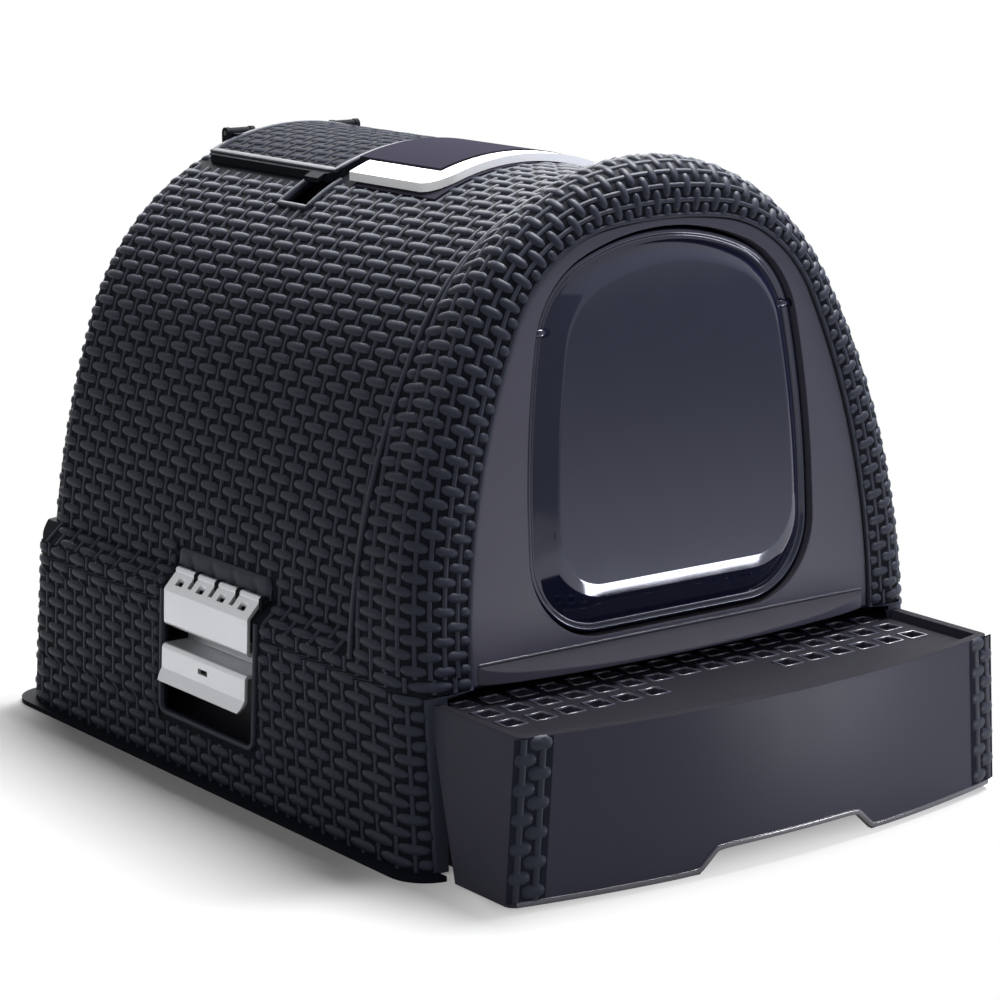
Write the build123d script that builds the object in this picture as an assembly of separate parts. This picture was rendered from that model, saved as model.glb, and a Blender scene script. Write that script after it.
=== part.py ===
from build123d import *
import os
from math import atan2, cos, degrees, pi, radians, sin, sqrt, tan

os.makedirs("parts", exist_ok=True)

# Frame: X to the right, Y to the back, Z up, in millimetres, origin on the floor under the middle.

# Main sizes
WALL = 3.0
SKIRT_FOOT_HALF = 185.5
SKIRT_DRAFT = 4.5
SKIRT_HEIGHT = 107.0
FRONT_FOOT_Y = -175.7
FRONT_LEAN = 4.0
REAR_FOOT_Y = 253.0
REAR_LEAN = 2.9
VAULT_CREST = 354.0

# Fits, and how far a cut runs past what it cuts
RUNNING = 0.06
PRESSED = 0.02
SEAT = 0.2
CLEAR = 0.5
PAST = 1.0
SAME = 0.0001
FAR = 2 * (REAR_FOOT_Y - FRONT_FOOT_Y)

# Hood: skirt, ledge, vault and collar
SKIRT_TOP_HALF = SKIRT_FOOT_HALF - SKIRT_DRAFT
SKIRT_SLOPE = degrees(atan2(SKIRT_DRAFT, SKIRT_HEIGHT))
FLANGE_OUT = 7.0
FLANGE_REAR_OUT = 10.0
FLANGE_THICK = 3.0
LEDGE_WIDTH = 11.0
LEDGE_RISE = 10.0
CORNER_ROUND = 20.0
VAULT_FOOT_HALF = SKIRT_TOP_HALF - LEDGE_WIDTH
VAULT_FOOT = SKIRT_HEIGHT + LEDGE_RISE
VAULT_TIGHTER = 19.0
VAULT_RADIUS = VAULT_FOOT_HALF - VAULT_TIGHTER
VAULT_TILT = 4.7
ROOF_CENTER_Z = VAULT_CREST - VAULT_RADIUS
COLLAR_RISE = 14.0
COLLAR_CREST = VAULT_CREST + COLLAR_RISE
COLLAR_TIGHTER = 6.0
COLLAR_RADIUS = VAULT_RADIUS - COLLAR_TIGHTER
COLLAR_LAND = 24.0
COLLAR_FULL_Y = FRONT_FOOT_Y + COLLAR_CREST * tan(radians(FRONT_LEAN)) + COLLAR_LAND
COLLAR_FLARE = 19.0
COLLAR_REAR_Y = COLLAR_FULL_Y + COLLAR_FLARE
COLLAR_STEP = 3.0
LEAN_UP = sin(radians(FRONT_LEAN))
LEAN_OUT = cos(radians(FRONT_LEAN))
FRONT = Plane((0, FRONT_FOOT_Y, 0), x_dir=(1, 0, 0), z_dir=(0, -LEAN_OUT, LEAN_UP))
REAR_UP = sin(radians(REAR_LEAN))
REAR_OUT = cos(radians(REAR_LEAN))
REAR = Plane((0, REAR_FOOT_Y, 0), x_dir=(-1, 0, 0), z_dir=(0, REAR_OUT, REAR_UP))

# Mouth for the tray, under the fascia
MOUTH_SIDE = 13.5
MOUTH_HALF = SKIRT_FOOT_HALF - MOUTH_SIDE
MOUTH_DROP = 9.0
MOUTH_TOP = SKIRT_HEIGHT - MOUTH_DROP

# Fascia and doorway, measured up the leaning front
FASCIA_BORDER = 36.5
FASCIA_HALF = SKIRT_TOP_HALF - FASCIA_BORDER
FASCIA_FOOT = SKIRT_HEIGHT + PAST
FASCIA_BOTTOM = MOUTH_TOP + PAST
FASCIA_DROP = 31.0
FASCIA_CREST = COLLAR_CREST - FASCIA_DROP
FASCIA_FLATTER = 130.5
FASCIA_CREST_RADIUS = FASCIA_HALF + FASCIA_FLATTER
FASCIA_CREST_ANGLE = 9.0
FASCIA_TIGHTER = 62.0
FASCIA_SHOULDER = FASCIA_HALF - FASCIA_TIGHTER
FASCIA_RECESS = 1.0
FASCIA_BACK = 5.6
FASCIA_LIP = 3.5
FASCIA_FIT = 0.4
DOORWAY_RETURN = 10.0
DOORWAY_WALL = 2.5
SILL_SIDE = 4.5
SILL_HALF = FASCIA_HALF - SILL_SIDE
SILL_BOW = 15.5
SILL_RISE = 10.0
SILL_TOP = FASCIA_BOTTOM + SILL_RISE
SILL_FALL = 8.5

# Swing door, its round parts as shares of its half width
DOOR_GAP = 2.0
DOOR_SIDE = 43.5
DOOR_HALF = FASCIA_HALF - DOOR_SIDE
DOOR_STEP = 6.0
DOOR_BOTTOM = SILL_TOP + DOOR_STEP
DOOR_CREST = FASCIA_CREST - DOOR_STEP
DOOR_CREST_SHARE = 1.475
DOOR_CREST_RADIUS = DOOR_HALF * DOOR_CREST_SHARE
DOOR_CREST_ANGLE = 22.5
DOOR_SHOULDER_SHARE = 0.574
DOOR_SHOULDER = DOOR_HALF * DOOR_SHOULDER_SHARE
DOOR_CORNER_SHARE = 0.455
DOOR_CORNER = DOOR_HALF * DOOR_CORNER_SHARE
DOOR_SIDE_LENGTH = 14.0
DOOR_WIDEST = DOOR_BOTTOM + DOOR_CORNER + DOOR_SIDE_LENGTH
DOOR_SET_BACK = 4.0
DOOR_THICK = 3.0
DOOR_SKIN = 2.4
DOOR_BEVEL_START = 7.0
DOOR_BEVEL_END = 17.0
DOOR_BEVEL_LOWER = 10.0
DOOR_CROWN_WIDTH = 3.0
DOOR_CROWN_LOWER = 4.0
DOOR_CROWN_DROP = 0.9
DOOR_RAISE = 7.0
DOOR_FLATTER = DOOR_CREST_RADIUS - DOOR_SHOULDER
DOOR_SHOULDER_X = DOOR_FLATTER * sin(radians(DOOR_CREST_ANGLE))
DOOR_SHOULDER_Z = DOOR_CREST - DOOR_CREST_RADIUS + DOOR_FLATTER * cos(radians(DOOR_CREST_ANGLE))
DOOR_PIVOT_RISE = 15.9
DOOR_PIVOT = DOOR_SHOULDER_Z + DOOR_PIVOT_RISE
DOOR_EDGE = DOOR_SHOULDER_X + sqrt(DOOR_SHOULDER**2 - DOOR_PIVOT_RISE**2)
DOOR_AXIS_DEPTH = DOOR_SET_BACK + DOOR_THICK / 2
DOOR_PIN_RADIUS = 2.0
DOOR_PIN_SHORT = 1.5
DOOR_BARREL_RADIUS = 4.0
DOOR_BARREL_LENGTH = 18.0
DOOR_BARREL_END = DOOR_EDGE - DOOR_GAP
LUG_WIDTH = 8.0
LUG_X = DOOR_EDGE + DOOR_GAP + (DOORWAY_WALL + LUG_WIDTH) / 2
LUG_HEIGHT = 10.0
LUG_DEPTH = 11.0

# Litter tray, drawer front and grid
TRAY_DROP = 7.0
TRAY_TOP = MOUTH_TOP - TRAY_DROP
TRAY_SIDE = 22.5
TRAY_HALF = SKIRT_FOOT_HALF - TRAY_SIDE
TRAY_DRAFT = 7.0
TRAY_OUT = 55.3
TRAY_FRONT_Y = FRONT_FOOT_Y - TRAY_OUT
TRAY_REAR_GAP = 15.0
TRAY_REAR_Y = REAR_FOOT_Y - TRAY_REAR_GAP
TRAY_CORNER = 24.0
TRAY_WALL = 2.6
TRAY_FLOOR = 3.0
RIM_OUT = 5.0
RIM_THICK = 3.0
DIVIDER_IN = 25.7
DIVIDER_Y = FRONT_FOOT_Y + DIVIDER_IN
GRID_SEAT = TRAY_TOP - TRAY_DROP
GRID_THICK = 4.0
DRAWER_BOTTOM = 3.0
DRAWER_DROP = 5.0
DRAWER_TOP = MOUTH_TOP - DRAWER_DROP
DRAWER_SIDE = 10.0
DRAWER_FOOT_HALF = SKIRT_FOOT_HALF - DRAWER_SIDE
DRAWER_DRAFT = 6.0
DRAWER_TOP_HALF = DRAWER_FOOT_HALF - DRAWER_DRAFT
DRAWER_OUT = 8.2
DRAWER_TOP_Y = TRAY_FRONT_Y - DRAWER_OUT
DRAWER_LEAN = 2.0
DRAWER_FOOT_Y = DRAWER_TOP_Y - DRAWER_LEAN
DRAWER_BOW = 22.0
DRAWER_ROUND = 6.0
DRAWER_WALL = 3.0
DRAWER_RIM = 6.0
WING_IN = 12.7
WING_TOP_Y = FRONT_FOOT_Y + WING_IN
WING_SLOPE = 31.5
WING_FOOT_Y = WING_TOP_Y - WING_SLOPE
NOTCH_HALF = 50.0
NOTCH_SPREAD = 14.0
NOTCH_HEIGHT = 12.5
RIB_SIDE = 75.0
RIB_X = TRAY_HALF - RIB_SIDE
GRID_PITCH_X = 19.5
GRID_PITCH_Y = 20.5
GRID_HOLE_X = 12.5
GRID_HOLE_Y = 11.5
GRID_MARGIN = 10.0
GRID_COLUMNS = int(2 * (DRAWER_TOP_HALF - GRID_MARGIN) / GRID_PITCH_X)
GRID_ROWS = 3
GRID_BACK = 13.0
GRID_FIRST_Y = DIVIDER_Y - GRID_BACK
GRID_PLAIN_HALF = 40.0

# Side latches
LATCH_FORWARD = 2.15
LATCH_Y = (FRONT_FOOT_Y + REAR_FOOT_Y) / 2 - LATCH_FORWARD
LATCH_WIDTH = 90.0
LATCH_THICK = 2.2
LATCH_BEND = 2.0
LATCH_DROP = 20.4
LATCH_SHELF = SKIRT_HEIGHT - LATCH_DROP
LATCH_CHANNEL = 12.6
LATCH_REACH = 4.0
LATCH_PLATE = 14.0
LATCH_LIP_TOP = LATCH_SHELF - LATCH_CHANNEL - LATCH_PLATE
LATCH_LIP = 7.0
LATCH_LIP_END = LATCH_LIP_TOP - LATCH_LIP
LATCH_LIP_FLARE = 4.5
LATCH_LIP_OUT = SKIRT_FOOT_HALF + LATCH_LIP_FLARE
LATCH_CORNER = 8.0
LATCH_TABS = 4
TAB_SLIT = 4.0
TAB_HOLE = 7.0
KNUCKLE_THICK = 3.0
LATCH_PIN_RADIUS = 1.2
LATCH_BARREL_RADIUS = 2.3
WINDOW_SIDE = 4.0
WINDOW_WIDTH = LATCH_WIDTH + 2 * WINDOW_SIDE
WINDOW_FINGERS = 19.0
WINDOW_BOTTOM = LATCH_LIP_END - WINDOW_FINGERS
WINDOW_DROP = 7.0
WINDOW_TOP = SKIRT_HEIGHT - WINDOW_DROP
LATCH_SLOT = 10.0
LATCH_SLOT_HEIGHT = 3.0

# Roof hatch and its hinge
HATCH_HALF = 68.0
HATCH_HINGE_IN = 34.0
HATCH_HINGE_Y = REAR_FOOT_Y - HATCH_HINGE_IN
HATCH_ARM = 5.0
HATCH_REAR_Y = HATCH_HINGE_Y - HATCH_ARM
HATCH_LENGTH = 141.0
HATCH_FRONT_Y = HATCH_REAR_Y - HATCH_LENGTH
HATCH_RISE = 5.0
HATCH_THICK = 2.4
HATCH_BORDER = 3.0
HATCH_CORNER = 8.0
HATCH_HINGE_Z = VAULT_CREST + CLEAR
HATCH_KNUCKLE_X = 40.0
HATCH_KNUCKLE_WIDTH = 14.0
HATCH_BARREL_RADIUS = 3.2
HATCH_PIN_RADIUS = 1.5
EAR_THICK = 3.0
EAR_RADIUS = 3.6
ROOF_OPEN_SIDE = 10.0
ROOF_OPEN_HALF = HATCH_HALF - ROOF_OPEN_SIDE
ROOF_OPEN_FRONT_Y = HATCH_FRONT_Y + ROOF_OPEN_SIDE + PAST
ROOF_OPEN_REAR_Y = HATCH_REAR_Y - ROOF_OPEN_SIDE
FINGER_SLOT_UNDER = 4.0
FINGER_SLOT_IN = HATCH_HALF - FINGER_SLOT_UNDER
FINGER_SLOT_BESIDE = 19.0
FINGER_SLOT_OUT = HATCH_HALF + FINGER_SLOT_BESIDE
FINGER_SLOT_AHEAD = 2.5
FINGER_SLOT_FRONT_Y = HATCH_FRONT_Y - FINGER_SLOT_AHEAD
FINGER_SLOT_LENGTH = 25.5
FINGER_SLOT_REAR_Y = FINGER_SLOT_FRONT_Y + FINGER_SLOT_LENGTH
TONGUE = 5.0
TONGUE_OUT = HATCH_HALF + TONGUE

# Carry handle on its plate
PLATE_HALF = HATCH_HALF
PLATE_GAP = 1.5
PLATE_REAR_Y = HATCH_FRONT_Y - PLATE_GAP
PLATE_FRONT_GAP = 2.5
PLATE_BASE = 1.2
PLATE_RISE = 7.0
PLATE_EDGE = 3.0
PLATE_FRONT_EDGE = 3.5
PLATE_ARM_ROOM = 7.5
HANDLE_HALF = PLATE_HALF - PLATE_EDGE
HANDLE_BAR = 14.5
HANDLE_CORNER = 16.0
HANDLE_LOW = 1.7
HANDLE_HIGH = 6.4
HANDLE_PIVOT_IN = 14.0
HANDLE_PIVOT_Y = PLATE_REAR_Y - HANDLE_PIVOT_IN
HANDLE_PIVOT_X = HANDLE_HALF - HANDLE_BAR
HANDLE_PIVOT_RISE = 3.5
HANDLE_PIVOT_Z = ROOF_CENTER_Z + sqrt((VAULT_RADIUS + HANDLE_PIVOT_RISE) ** 2 - HANDLE_PIVOT_X**2)
HANDLE_END = 2.1
HANDLE_REAR_Y = HANDLE_PIVOT_Y + HANDLE_END
HANDLE_REACH = 83.5
HANDLE_FRONT_Y = HANDLE_PIVOT_Y - HANDLE_REACH
HANDLE_PIN_RADIUS = 1.2
HANDLE_PIN_LENGTH = 7.0
PLATE_FRONT_Y = HANDLE_FRONT_Y - PLATE_FRONT_EDGE

# Woven rows that stand out from the hood, clear of its fittings
ROW_PITCH = 8.25
ROW_SHARE = 0.87
ROW_RISE = 0.8
ROW_SINK = 0.3
ROW_CLEAR = 3.5
LATCH_STOP = 14.0

# Filter under the hatch
BASKET_GAP = 1.5
BASKET_WALL = 2.0
BASKET_DEPTH = 32.0
BASKET_FLOOR_Z = VAULT_CREST - BASKET_DEPTH
BASKET_FLANGE = 5.0
BASKET_SLOTS = 7
BASKET_SLOT_WIDTH = 8.0
PAD_THICK = 10.0
PAD_GAP = 2.0


def across(y):
    """Plane square to the length of the box, with X to the right and Z up."""
    return Plane((0, y, 0), x_dir=(1, 0, 0), z_dir=(0, -1, 0))


def block(x0, x1, y0, y1, z0, z1):
    """Box between two corners."""
    return Pos((x0 + x1) / 2, (y0 + y1) / 2, (z0 + z1) / 2) * Box(x1 - x0, y1 - y0, z1 - z0)


def rod_x(x0, x1, y, z, radius):
    """Cylinder along X."""
    return Pos((x0 + x1) / 2, y, z) * Rot(0, 90, 0) * Cylinder(radius, x1 - x0)


def rod_y(x, y0, y1, z, radius):
    """Cylinder along Y."""
    return Pos(x, (y0 + y1) / 2, z) * Rot(90, 0, 0) * Cylinder(radius, y1 - y0)


def arch_edges(half, foot, tilt, crest, shoulder, crest_radius=None, crest_angle=0.0, inset=0.0):
    """Tangent arcs from the left foot over the crest to the right foot, moved inward by inset."""
    crest_radius = (crest_radius or shoulder) - inset
    shoulder = shoulder - inset
    crest = crest - inset
    lean = radians(crest_angle)
    outward = Vector(cos(radians(tilt)), sin(radians(tilt)))
    foot_point = Vector(half, foot) - outward * inset
    crest_center = Vector(0, crest - crest_radius)
    shoulder_center = crest_center + Vector(sin(lean), cos(lean)) * (crest_radius - shoulder)
    reach = foot_point - shoulder_center
    side = (reach.dot(reach) - shoulder**2) / (2 * (reach.dot(outward) - shoulder))
    side_center = foot_point - outward * side
    join = shoulder_center - side_center
    join_angle = atan2(join.X, join.Y)
    foot_angle = pi / 2 - radians(tilt)

    def arc(center, radius, start, end):
        turns = (start, (start + end) / 2, end)
        return [center + Vector(sin(turn), cos(turn)) * radius for turn in turns]

    right = [arc(side_center, side, foot_angle, join_angle)]
    if crest_angle:
        right.append(arc(shoulder_center, shoulder, join_angle, lean))
        top = arc(crest_center, crest_radius, lean, -lean)
    else:
        top = arc(shoulder_center, shoulder, join_angle, -join_angle)
    left = [[Vector(-p.X, p.Y) for p in reversed(points)] for points in reversed(right)]
    return [ThreePointArc(*points) for points in right + [top] + left]


def arch_face(edges, base, spread=0.0):
    """Closed face under an arch, with legs down to base that spread by so many degrees."""
    right = edges[0] @ 0
    left = edges[-1] @ 1
    out = (right.Y - base) * tan(radians(spread))
    right_base = Vector(right.X + out, base)
    left_base = Vector(left.X - out, base)
    legs = [Line(left, left_base), Line(left_base, right_base), Line(right_base, right)]
    return make_face(edges + legs)


def on_plane(solid, plane):
    """Edges of a solid that lie in a plane."""

    def away(edge):
        return max(abs(plane.to_local_coords(v.center()).Z) for v in edge.vertices())

    return [edge for edge in solid.edges() if away(edge) < SAME]


def level(edge):
    """True for an edge with both ends at one height."""
    heights = [v.Z for v in edge.vertices()]
    return max(heights) - min(heights) < SAME and edge.geom_type == GeomType.LINE


def collar_edges(crest, radius, inset):
    return arch_edges(SKIRT_TOP_HALF, SKIRT_HEIGHT, SKIRT_SLOPE, crest, radius, inset=inset)


def vault_edges(inset):
    return arch_edges(VAULT_FOOT_HALF, VAULT_FOOT, VAULT_TILT, VAULT_CREST, VAULT_RADIUS, inset=inset)


def collar_form(inset, base):
    """Front band of the hood: flares up to its full height, then runs to the leaning front."""
    crest = VAULT_CREST + COLLAR_STEP
    radius = VAULT_RADIUS + COLLAR_STEP
    behind = arch_face(collar_edges(crest, radius, inset), base, SKIRT_SLOPE)
    full = arch_face(collar_edges(COLLAR_CREST, COLLAR_RADIUS, inset), base, SKIRT_SLOPE)
    band = loft([across(COLLAR_REAR_Y - inset) * behind, across(COLLAR_FULL_Y) * full], ruled=True)
    band += extrude(across(COLLAR_FULL_Y) * full, FAR, dir=(0, -1, 0))
    face = FRONT.offset(-inset)
    band = split(band, bisect_by=face, keep=Keep.BOTTOM)
    rim = [edge for edge in on_plane(band, face) if not level(edge)]
    return fillet(rim, CORNER_ROUND - inset)


def skirt_form(inset, base):
    """Drafted skirt with the sloping ledge on top, rounded at its rear corners."""
    foot_half = SKIRT_TOP_HALF + (SKIRT_HEIGHT - base) * tan(radians(SKIRT_SLOPE))
    right = [(foot_half, base), (SKIRT_TOP_HALF, SKIRT_HEIGHT), (VAULT_FOOT_HALF, VAULT_FOOT)]
    left = [(-x, z) for x, z in reversed(right)]
    section = make_face(Polyline(*right, *left, close=True))
    if inset:
        section = offset(section, -inset, kind=Kind.INTERSECTION)
    low = extrude(across(COLLAR_FULL_Y) * section, FAR, dir=(0, 1, 0))
    low = split(low, bisect_by=REAR.offset(-inset), keep=Keep.BOTTOM)

    def plan(z):
        rear = REAR_FOOT_Y - inset - z * tan(radians(REAR_LEAN))
        half = SKIRT_TOP_HALF - inset + (SKIRT_HEIGHT - z) * tan(radians(SKIRT_SLOPE))
        length = rear - COLLAR_FULL_Y + CORNER_ROUND
        return Pos(0, rear - length / 2, z) * RectangleRounded(2 * half, length, CORNER_ROUND - inset)

    return low & loft([plan(base - PAST), plan(VAULT_FOOT + PAST)], ruled=True)


def vault_form(inset):
    """Barrel vault with a rounded rear edge; its legs run down inside the skirt."""
    section = across(COLLAR_FULL_Y) * arch_face(vault_edges(inset), SKIRT_HEIGHT - LEDGE_RISE)
    face = REAR.offset(-inset)
    barrel = split(extrude(section, FAR, dir=(0, 1, 0)), bisect_by=face, keep=Keep.BOTTOM)
    rim = [edge for edge in on_plane(barrel, face) if not level(edge)]
    return fillet(rim, CORNER_ROUND - inset)


def hood_form(inset, base):
    return skirt_form(inset, base) + vault_form(inset) + collar_form(inset, base)


def row_middles(length):
    """Middles of the rows that fill a length evenly."""
    count = round(length / ROW_PITCH)
    return [(n + 1 / 2) * length / count for n in range(count)]


def woven_row(start, end, outward):
    """Low rounded bar on a wall, sunk a little into it, from one point to another."""
    along = (end - start).normalized()
    half = ROW_SHARE * ROW_PITCH / 2
    dome = ThreePointArc((-half, -ROW_SINK), (0, ROW_RISE), (half, -ROW_SINK))
    section = make_face([dome, Line(dome @ 1, dome @ 0)])
    return extrude(Plane(start, x_dir=outward.cross(along), z_dir=along) * section, (end - start).length)


def free_runs(start, end, gap):
    """What is left of a stretch of Y on both sides of a gap."""
    runs = [(start, min(end, gap[0])), (max(start, gap[1]), end)]
    return [run for run in runs if run[1] - run[0] > ROW_PITCH]


def latch_gap():
    reach = WINDOW_WIDTH / 2 + ROW_CLEAR
    return (LATCH_Y - reach, LATCH_Y + reach)


def rear_edge(z):
    """Where a wall ends at the rounded rear edge."""
    return REAR_FOOT_Y - z * tan(radians(REAR_LEAN)) - CORNER_ROUND


def vault_rows():
    """Rows along the vault from the collar back, on one side of the crest."""
    line = Wire(vault_edges(0.0))
    near = ROW_PITCH / 2 + ROW_CLEAR
    bars = []
    for place in row_middles(line.length):
        spot = line.position_at(place, position_mode=PositionMode.LENGTH)
        tangent = line.tangent_at(place, position_mode=PositionMode.LENGTH)
        if spot.X < 0:
            continue
        gap = (FAR, FAR)
        if spot.X < HATCH_HALF + near:
            gap = (PLATE_FRONT_Y - ROW_CLEAR, FAR)
        elif spot.X < FINGER_SLOT_OUT + near:
            gap = (FINGER_SLOT_FRONT_Y - ROW_CLEAR, FINGER_SLOT_REAR_Y + ROW_CLEAR)
        elif spot.Y < VAULT_FOOT + LATCH_STOP:
            gap = latch_gap()
        outward = Vector(tangent.Y, 0, -tangent.X)
        for y0, y1 in free_runs(COLLAR_REAR_Y - WALL / 2, rear_edge(spot.Y), gap):
            bars.append(woven_row(Vector(spot.X, y0, spot.Y), Vector(spot.X, y1, spot.Y), outward))
    return bars


def skirt_rows():
    """Rows along the right side of the skirt, from the front edge to the rear corner."""
    outward = Vector(cos(radians(SKIRT_SLOPE)), 0, sin(radians(SKIRT_SLOPE)))
    bars = []
    for place in row_middles(SKIRT_HEIGHT - FLANGE_THICK):
        z = FLANGE_THICK + place
        x = SKIRT_TOP_HALF + (SKIRT_HEIGHT - z) * tan(radians(SKIRT_SLOPE))
        front = FRONT_FOOT_Y + z * tan(radians(FRONT_LEAN)) + CORNER_ROUND
        gap = latch_gap() if z + ROW_PITCH > WINDOW_BOTTOM else (FAR, FAR)
        for y0, y1 in free_runs(front, rear_edge(z), gap):
            bars.append(woven_row(Vector(x, y0, z), Vector(x, y1, z), outward))
    return bars


def rear_rows():
    """Rows across the back, inside its rounded edges."""
    outward = Vector(0, REAR_OUT, REAR_UP)
    arch = arch_face(vault_edges(CORNER_ROUND), SKIRT_HEIGHT)
    heights = [FLANGE_THICK + place for place in row_middles(SKIRT_HEIGHT - FLANGE_THICK)]
    heights += [SKIRT_HEIGHT + place for place in row_middles(VAULT_CREST - CORNER_ROUND - SKIRT_HEIGHT)]
    bars = []
    for z in heights:
        y = rear_edge(z) + CORNER_ROUND
        half = SKIRT_TOP_HALF - CORNER_ROUND
        if z > SKIRT_HEIGHT:
            half = (Line((0, z), (FAR, z)) & arch).length
        bars.append(woven_row(Vector(-half, y, z), Vector(half, y, z), outward))
    return bars


def roof_layer(x_half, y0, y1, low, high):
    """Slab that follows the vault between two heights above it, over a rectangle of the roof."""
    center = (0, ROOF_CENTER_Z)
    ring = Pos(*center) * (Circle(VAULT_RADIUS + high) - Circle(VAULT_RADIUS + low))
    slab = extrude(across(y0) * ring, y1 - y0, dir=(0, 1, 0))
    return slab & block(-x_half, x_half, y0, y1, ROOF_CENTER_Z, ROOF_CENTER_Z + FAR)


def fascia_face(inset):
    side = (FASCIA_HALF, FASCIA_FOOT, 0.0)
    top = (FASCIA_CREST, FASCIA_SHOULDER, FASCIA_CREST_RADIUS, FASCIA_CREST_ANGLE)
    return arch_face(arch_edges(*side, *top, inset), FASCIA_BOTTOM)


def door_face(inset, lower=0.0):
    """Outline of the door, moved inward by inset and up at its bottom by lower."""
    side = (DOOR_HALF, DOOR_WIDEST, 0.0)
    top = (DOOR_CREST, DOOR_SHOULDER, DOOR_CREST_RADIUS, DOOR_CREST_ANGLE)
    face = arch_face(arch_edges(*side, *top, inset), DOOR_BOTTOM + inset + lower)
    return fillet(face.vertices().sort_by(Axis.Y)[:2], DOOR_CORNER - inset)


def front_slab(face, near, far):
    """Face on the leaning front, thickened from near to far behind it."""
    return extrude(FRONT.offset(-near) * face, near - far)


def front_point(height, depth):
    """Y and Z of a point so far up the leaning front and so deep behind it."""
    point = FRONT.from_local_coords((0, height, -depth))
    return point.Y, point.Z


def latch_points():
    """Middle line of the latch sheet, as distance out from the middle of the box and height."""
    half = LATCH_THICK / 2
    ledge_run = sqrt(LEDGE_WIDTH**2 + LEDGE_RISE**2)
    up = Vector(LEDGE_RISE, LEDGE_WIDTH) / ledge_run
    down = Vector(LEDGE_WIDTH, -LEDGE_RISE) / ledge_run
    edge = Vector(SKIRT_TOP_HALF, SKIRT_HEIGHT)
    pin = edge + up * (LATCH_BARREL_RADIUS + CLEAR) - down * (ledge_run - LATCH_BARREL_RADIUS)
    bend = edge + up * (half + CLEAR) + down * half

    def beside(z):
        return SKIRT_TOP_HALF + (SKIRT_HEIGHT - z) * tan(radians(SKIRT_SLOPE)) + half + CLEAR

    inner = TRAY_HALF + LATCH_REACH
    shelf_foot = LATCH_SHELF - LATCH_CHANNEL
    return [
        pin,
        bend,
        Vector(beside(LATCH_SHELF), LATCH_SHELF),
        Vector(inner, LATCH_SHELF),
        Vector(inner, shelf_foot),
        Vector(beside(shelf_foot) + half, shelf_foot),
        Vector(beside(LATCH_LIP_TOP) + half, LATCH_LIP_TOP),
        Vector(LATCH_LIP_OUT, LATCH_LIP_END),
    ]


def tab_middles():
    """Y of the slits between the latch tabs, in the middle of the latch's width."""
    pitch = LATCH_WIDTH / LATCH_TABS
    return [LATCH_Y + pitch * (n - LATCH_TABS / 2) for n in range(1, LATCH_TABS)]


def knuckle_middles():
    end = LATCH_WIDTH / 2 + CLEAR + KNUCKLE_THICK / 2
    return [LATCH_Y - end, *tab_middles(), LATCH_Y + end]


def latch_knuckle(y):
    """Upright on the ledge that carries the latch pin."""
    pin = latch_points()[0]
    radius = LATCH_BARREL_RADIUS + CLEAR
    y0 = y - KNUCKLE_THICK / 2
    y1 = y + KNUCKLE_THICK / 2
    shape = rod_y(pin.X, y0, y1, pin.Y, radius)
    shape += block(VAULT_FOOT_HALF - WALL / 2, pin.X + radius, y0, y1, VAULT_FOOT - LEDGE_RISE, pin.Y)
    return shape


def hatch_ear(x):
    """Upright behind the hatch that carries the hatch pin."""
    x0 = x - EAR_THICK / 2
    x1 = x + EAR_THICK / 2
    foot = ROOF_CENTER_Z + sqrt((VAULT_RADIUS - WALL / 2) ** 2 - max(abs(x0), abs(x1)) ** 2)
    y0 = HATCH_HINGE_Y - EAR_RADIUS
    y1 = HATCH_HINGE_Y + EAR_RADIUS
    shape = rod_x(x0, x1, HATCH_HINGE_Y, HATCH_HINGE_Z, EAR_RADIUS)
    return shape + block(x0, x1, y0, y1, foot, HATCH_HINGE_Z)


def ear_places():
    reach = (HATCH_KNUCKLE_WIDTH + EAR_THICK) / 2 + CLEAR
    return [side * (HATCH_KNUCKLE_X + out) for side in (-1, 1) for out in (-reach, reach)]


def floor_flange():
    """Out-turned edge that the hood stands on."""

    def plan(grow, rear):
        half = SKIRT_FOOT_HALF + grow
        front = FRONT_FOOT_Y - grow
        outline = RectangleRounded(2 * half, rear - front, CORNER_ROUND + grow / 2)
        return Pos(0, (front + rear) / 2) * outline

    outside = plan(FLANGE_OUT, REAR_FOOT_Y + FLANGE_REAR_OUT)
    return extrude(outside - plan(-WALL / 2, REAR_FOOT_Y - WALL / 2), FLANGE_THICK)


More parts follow.
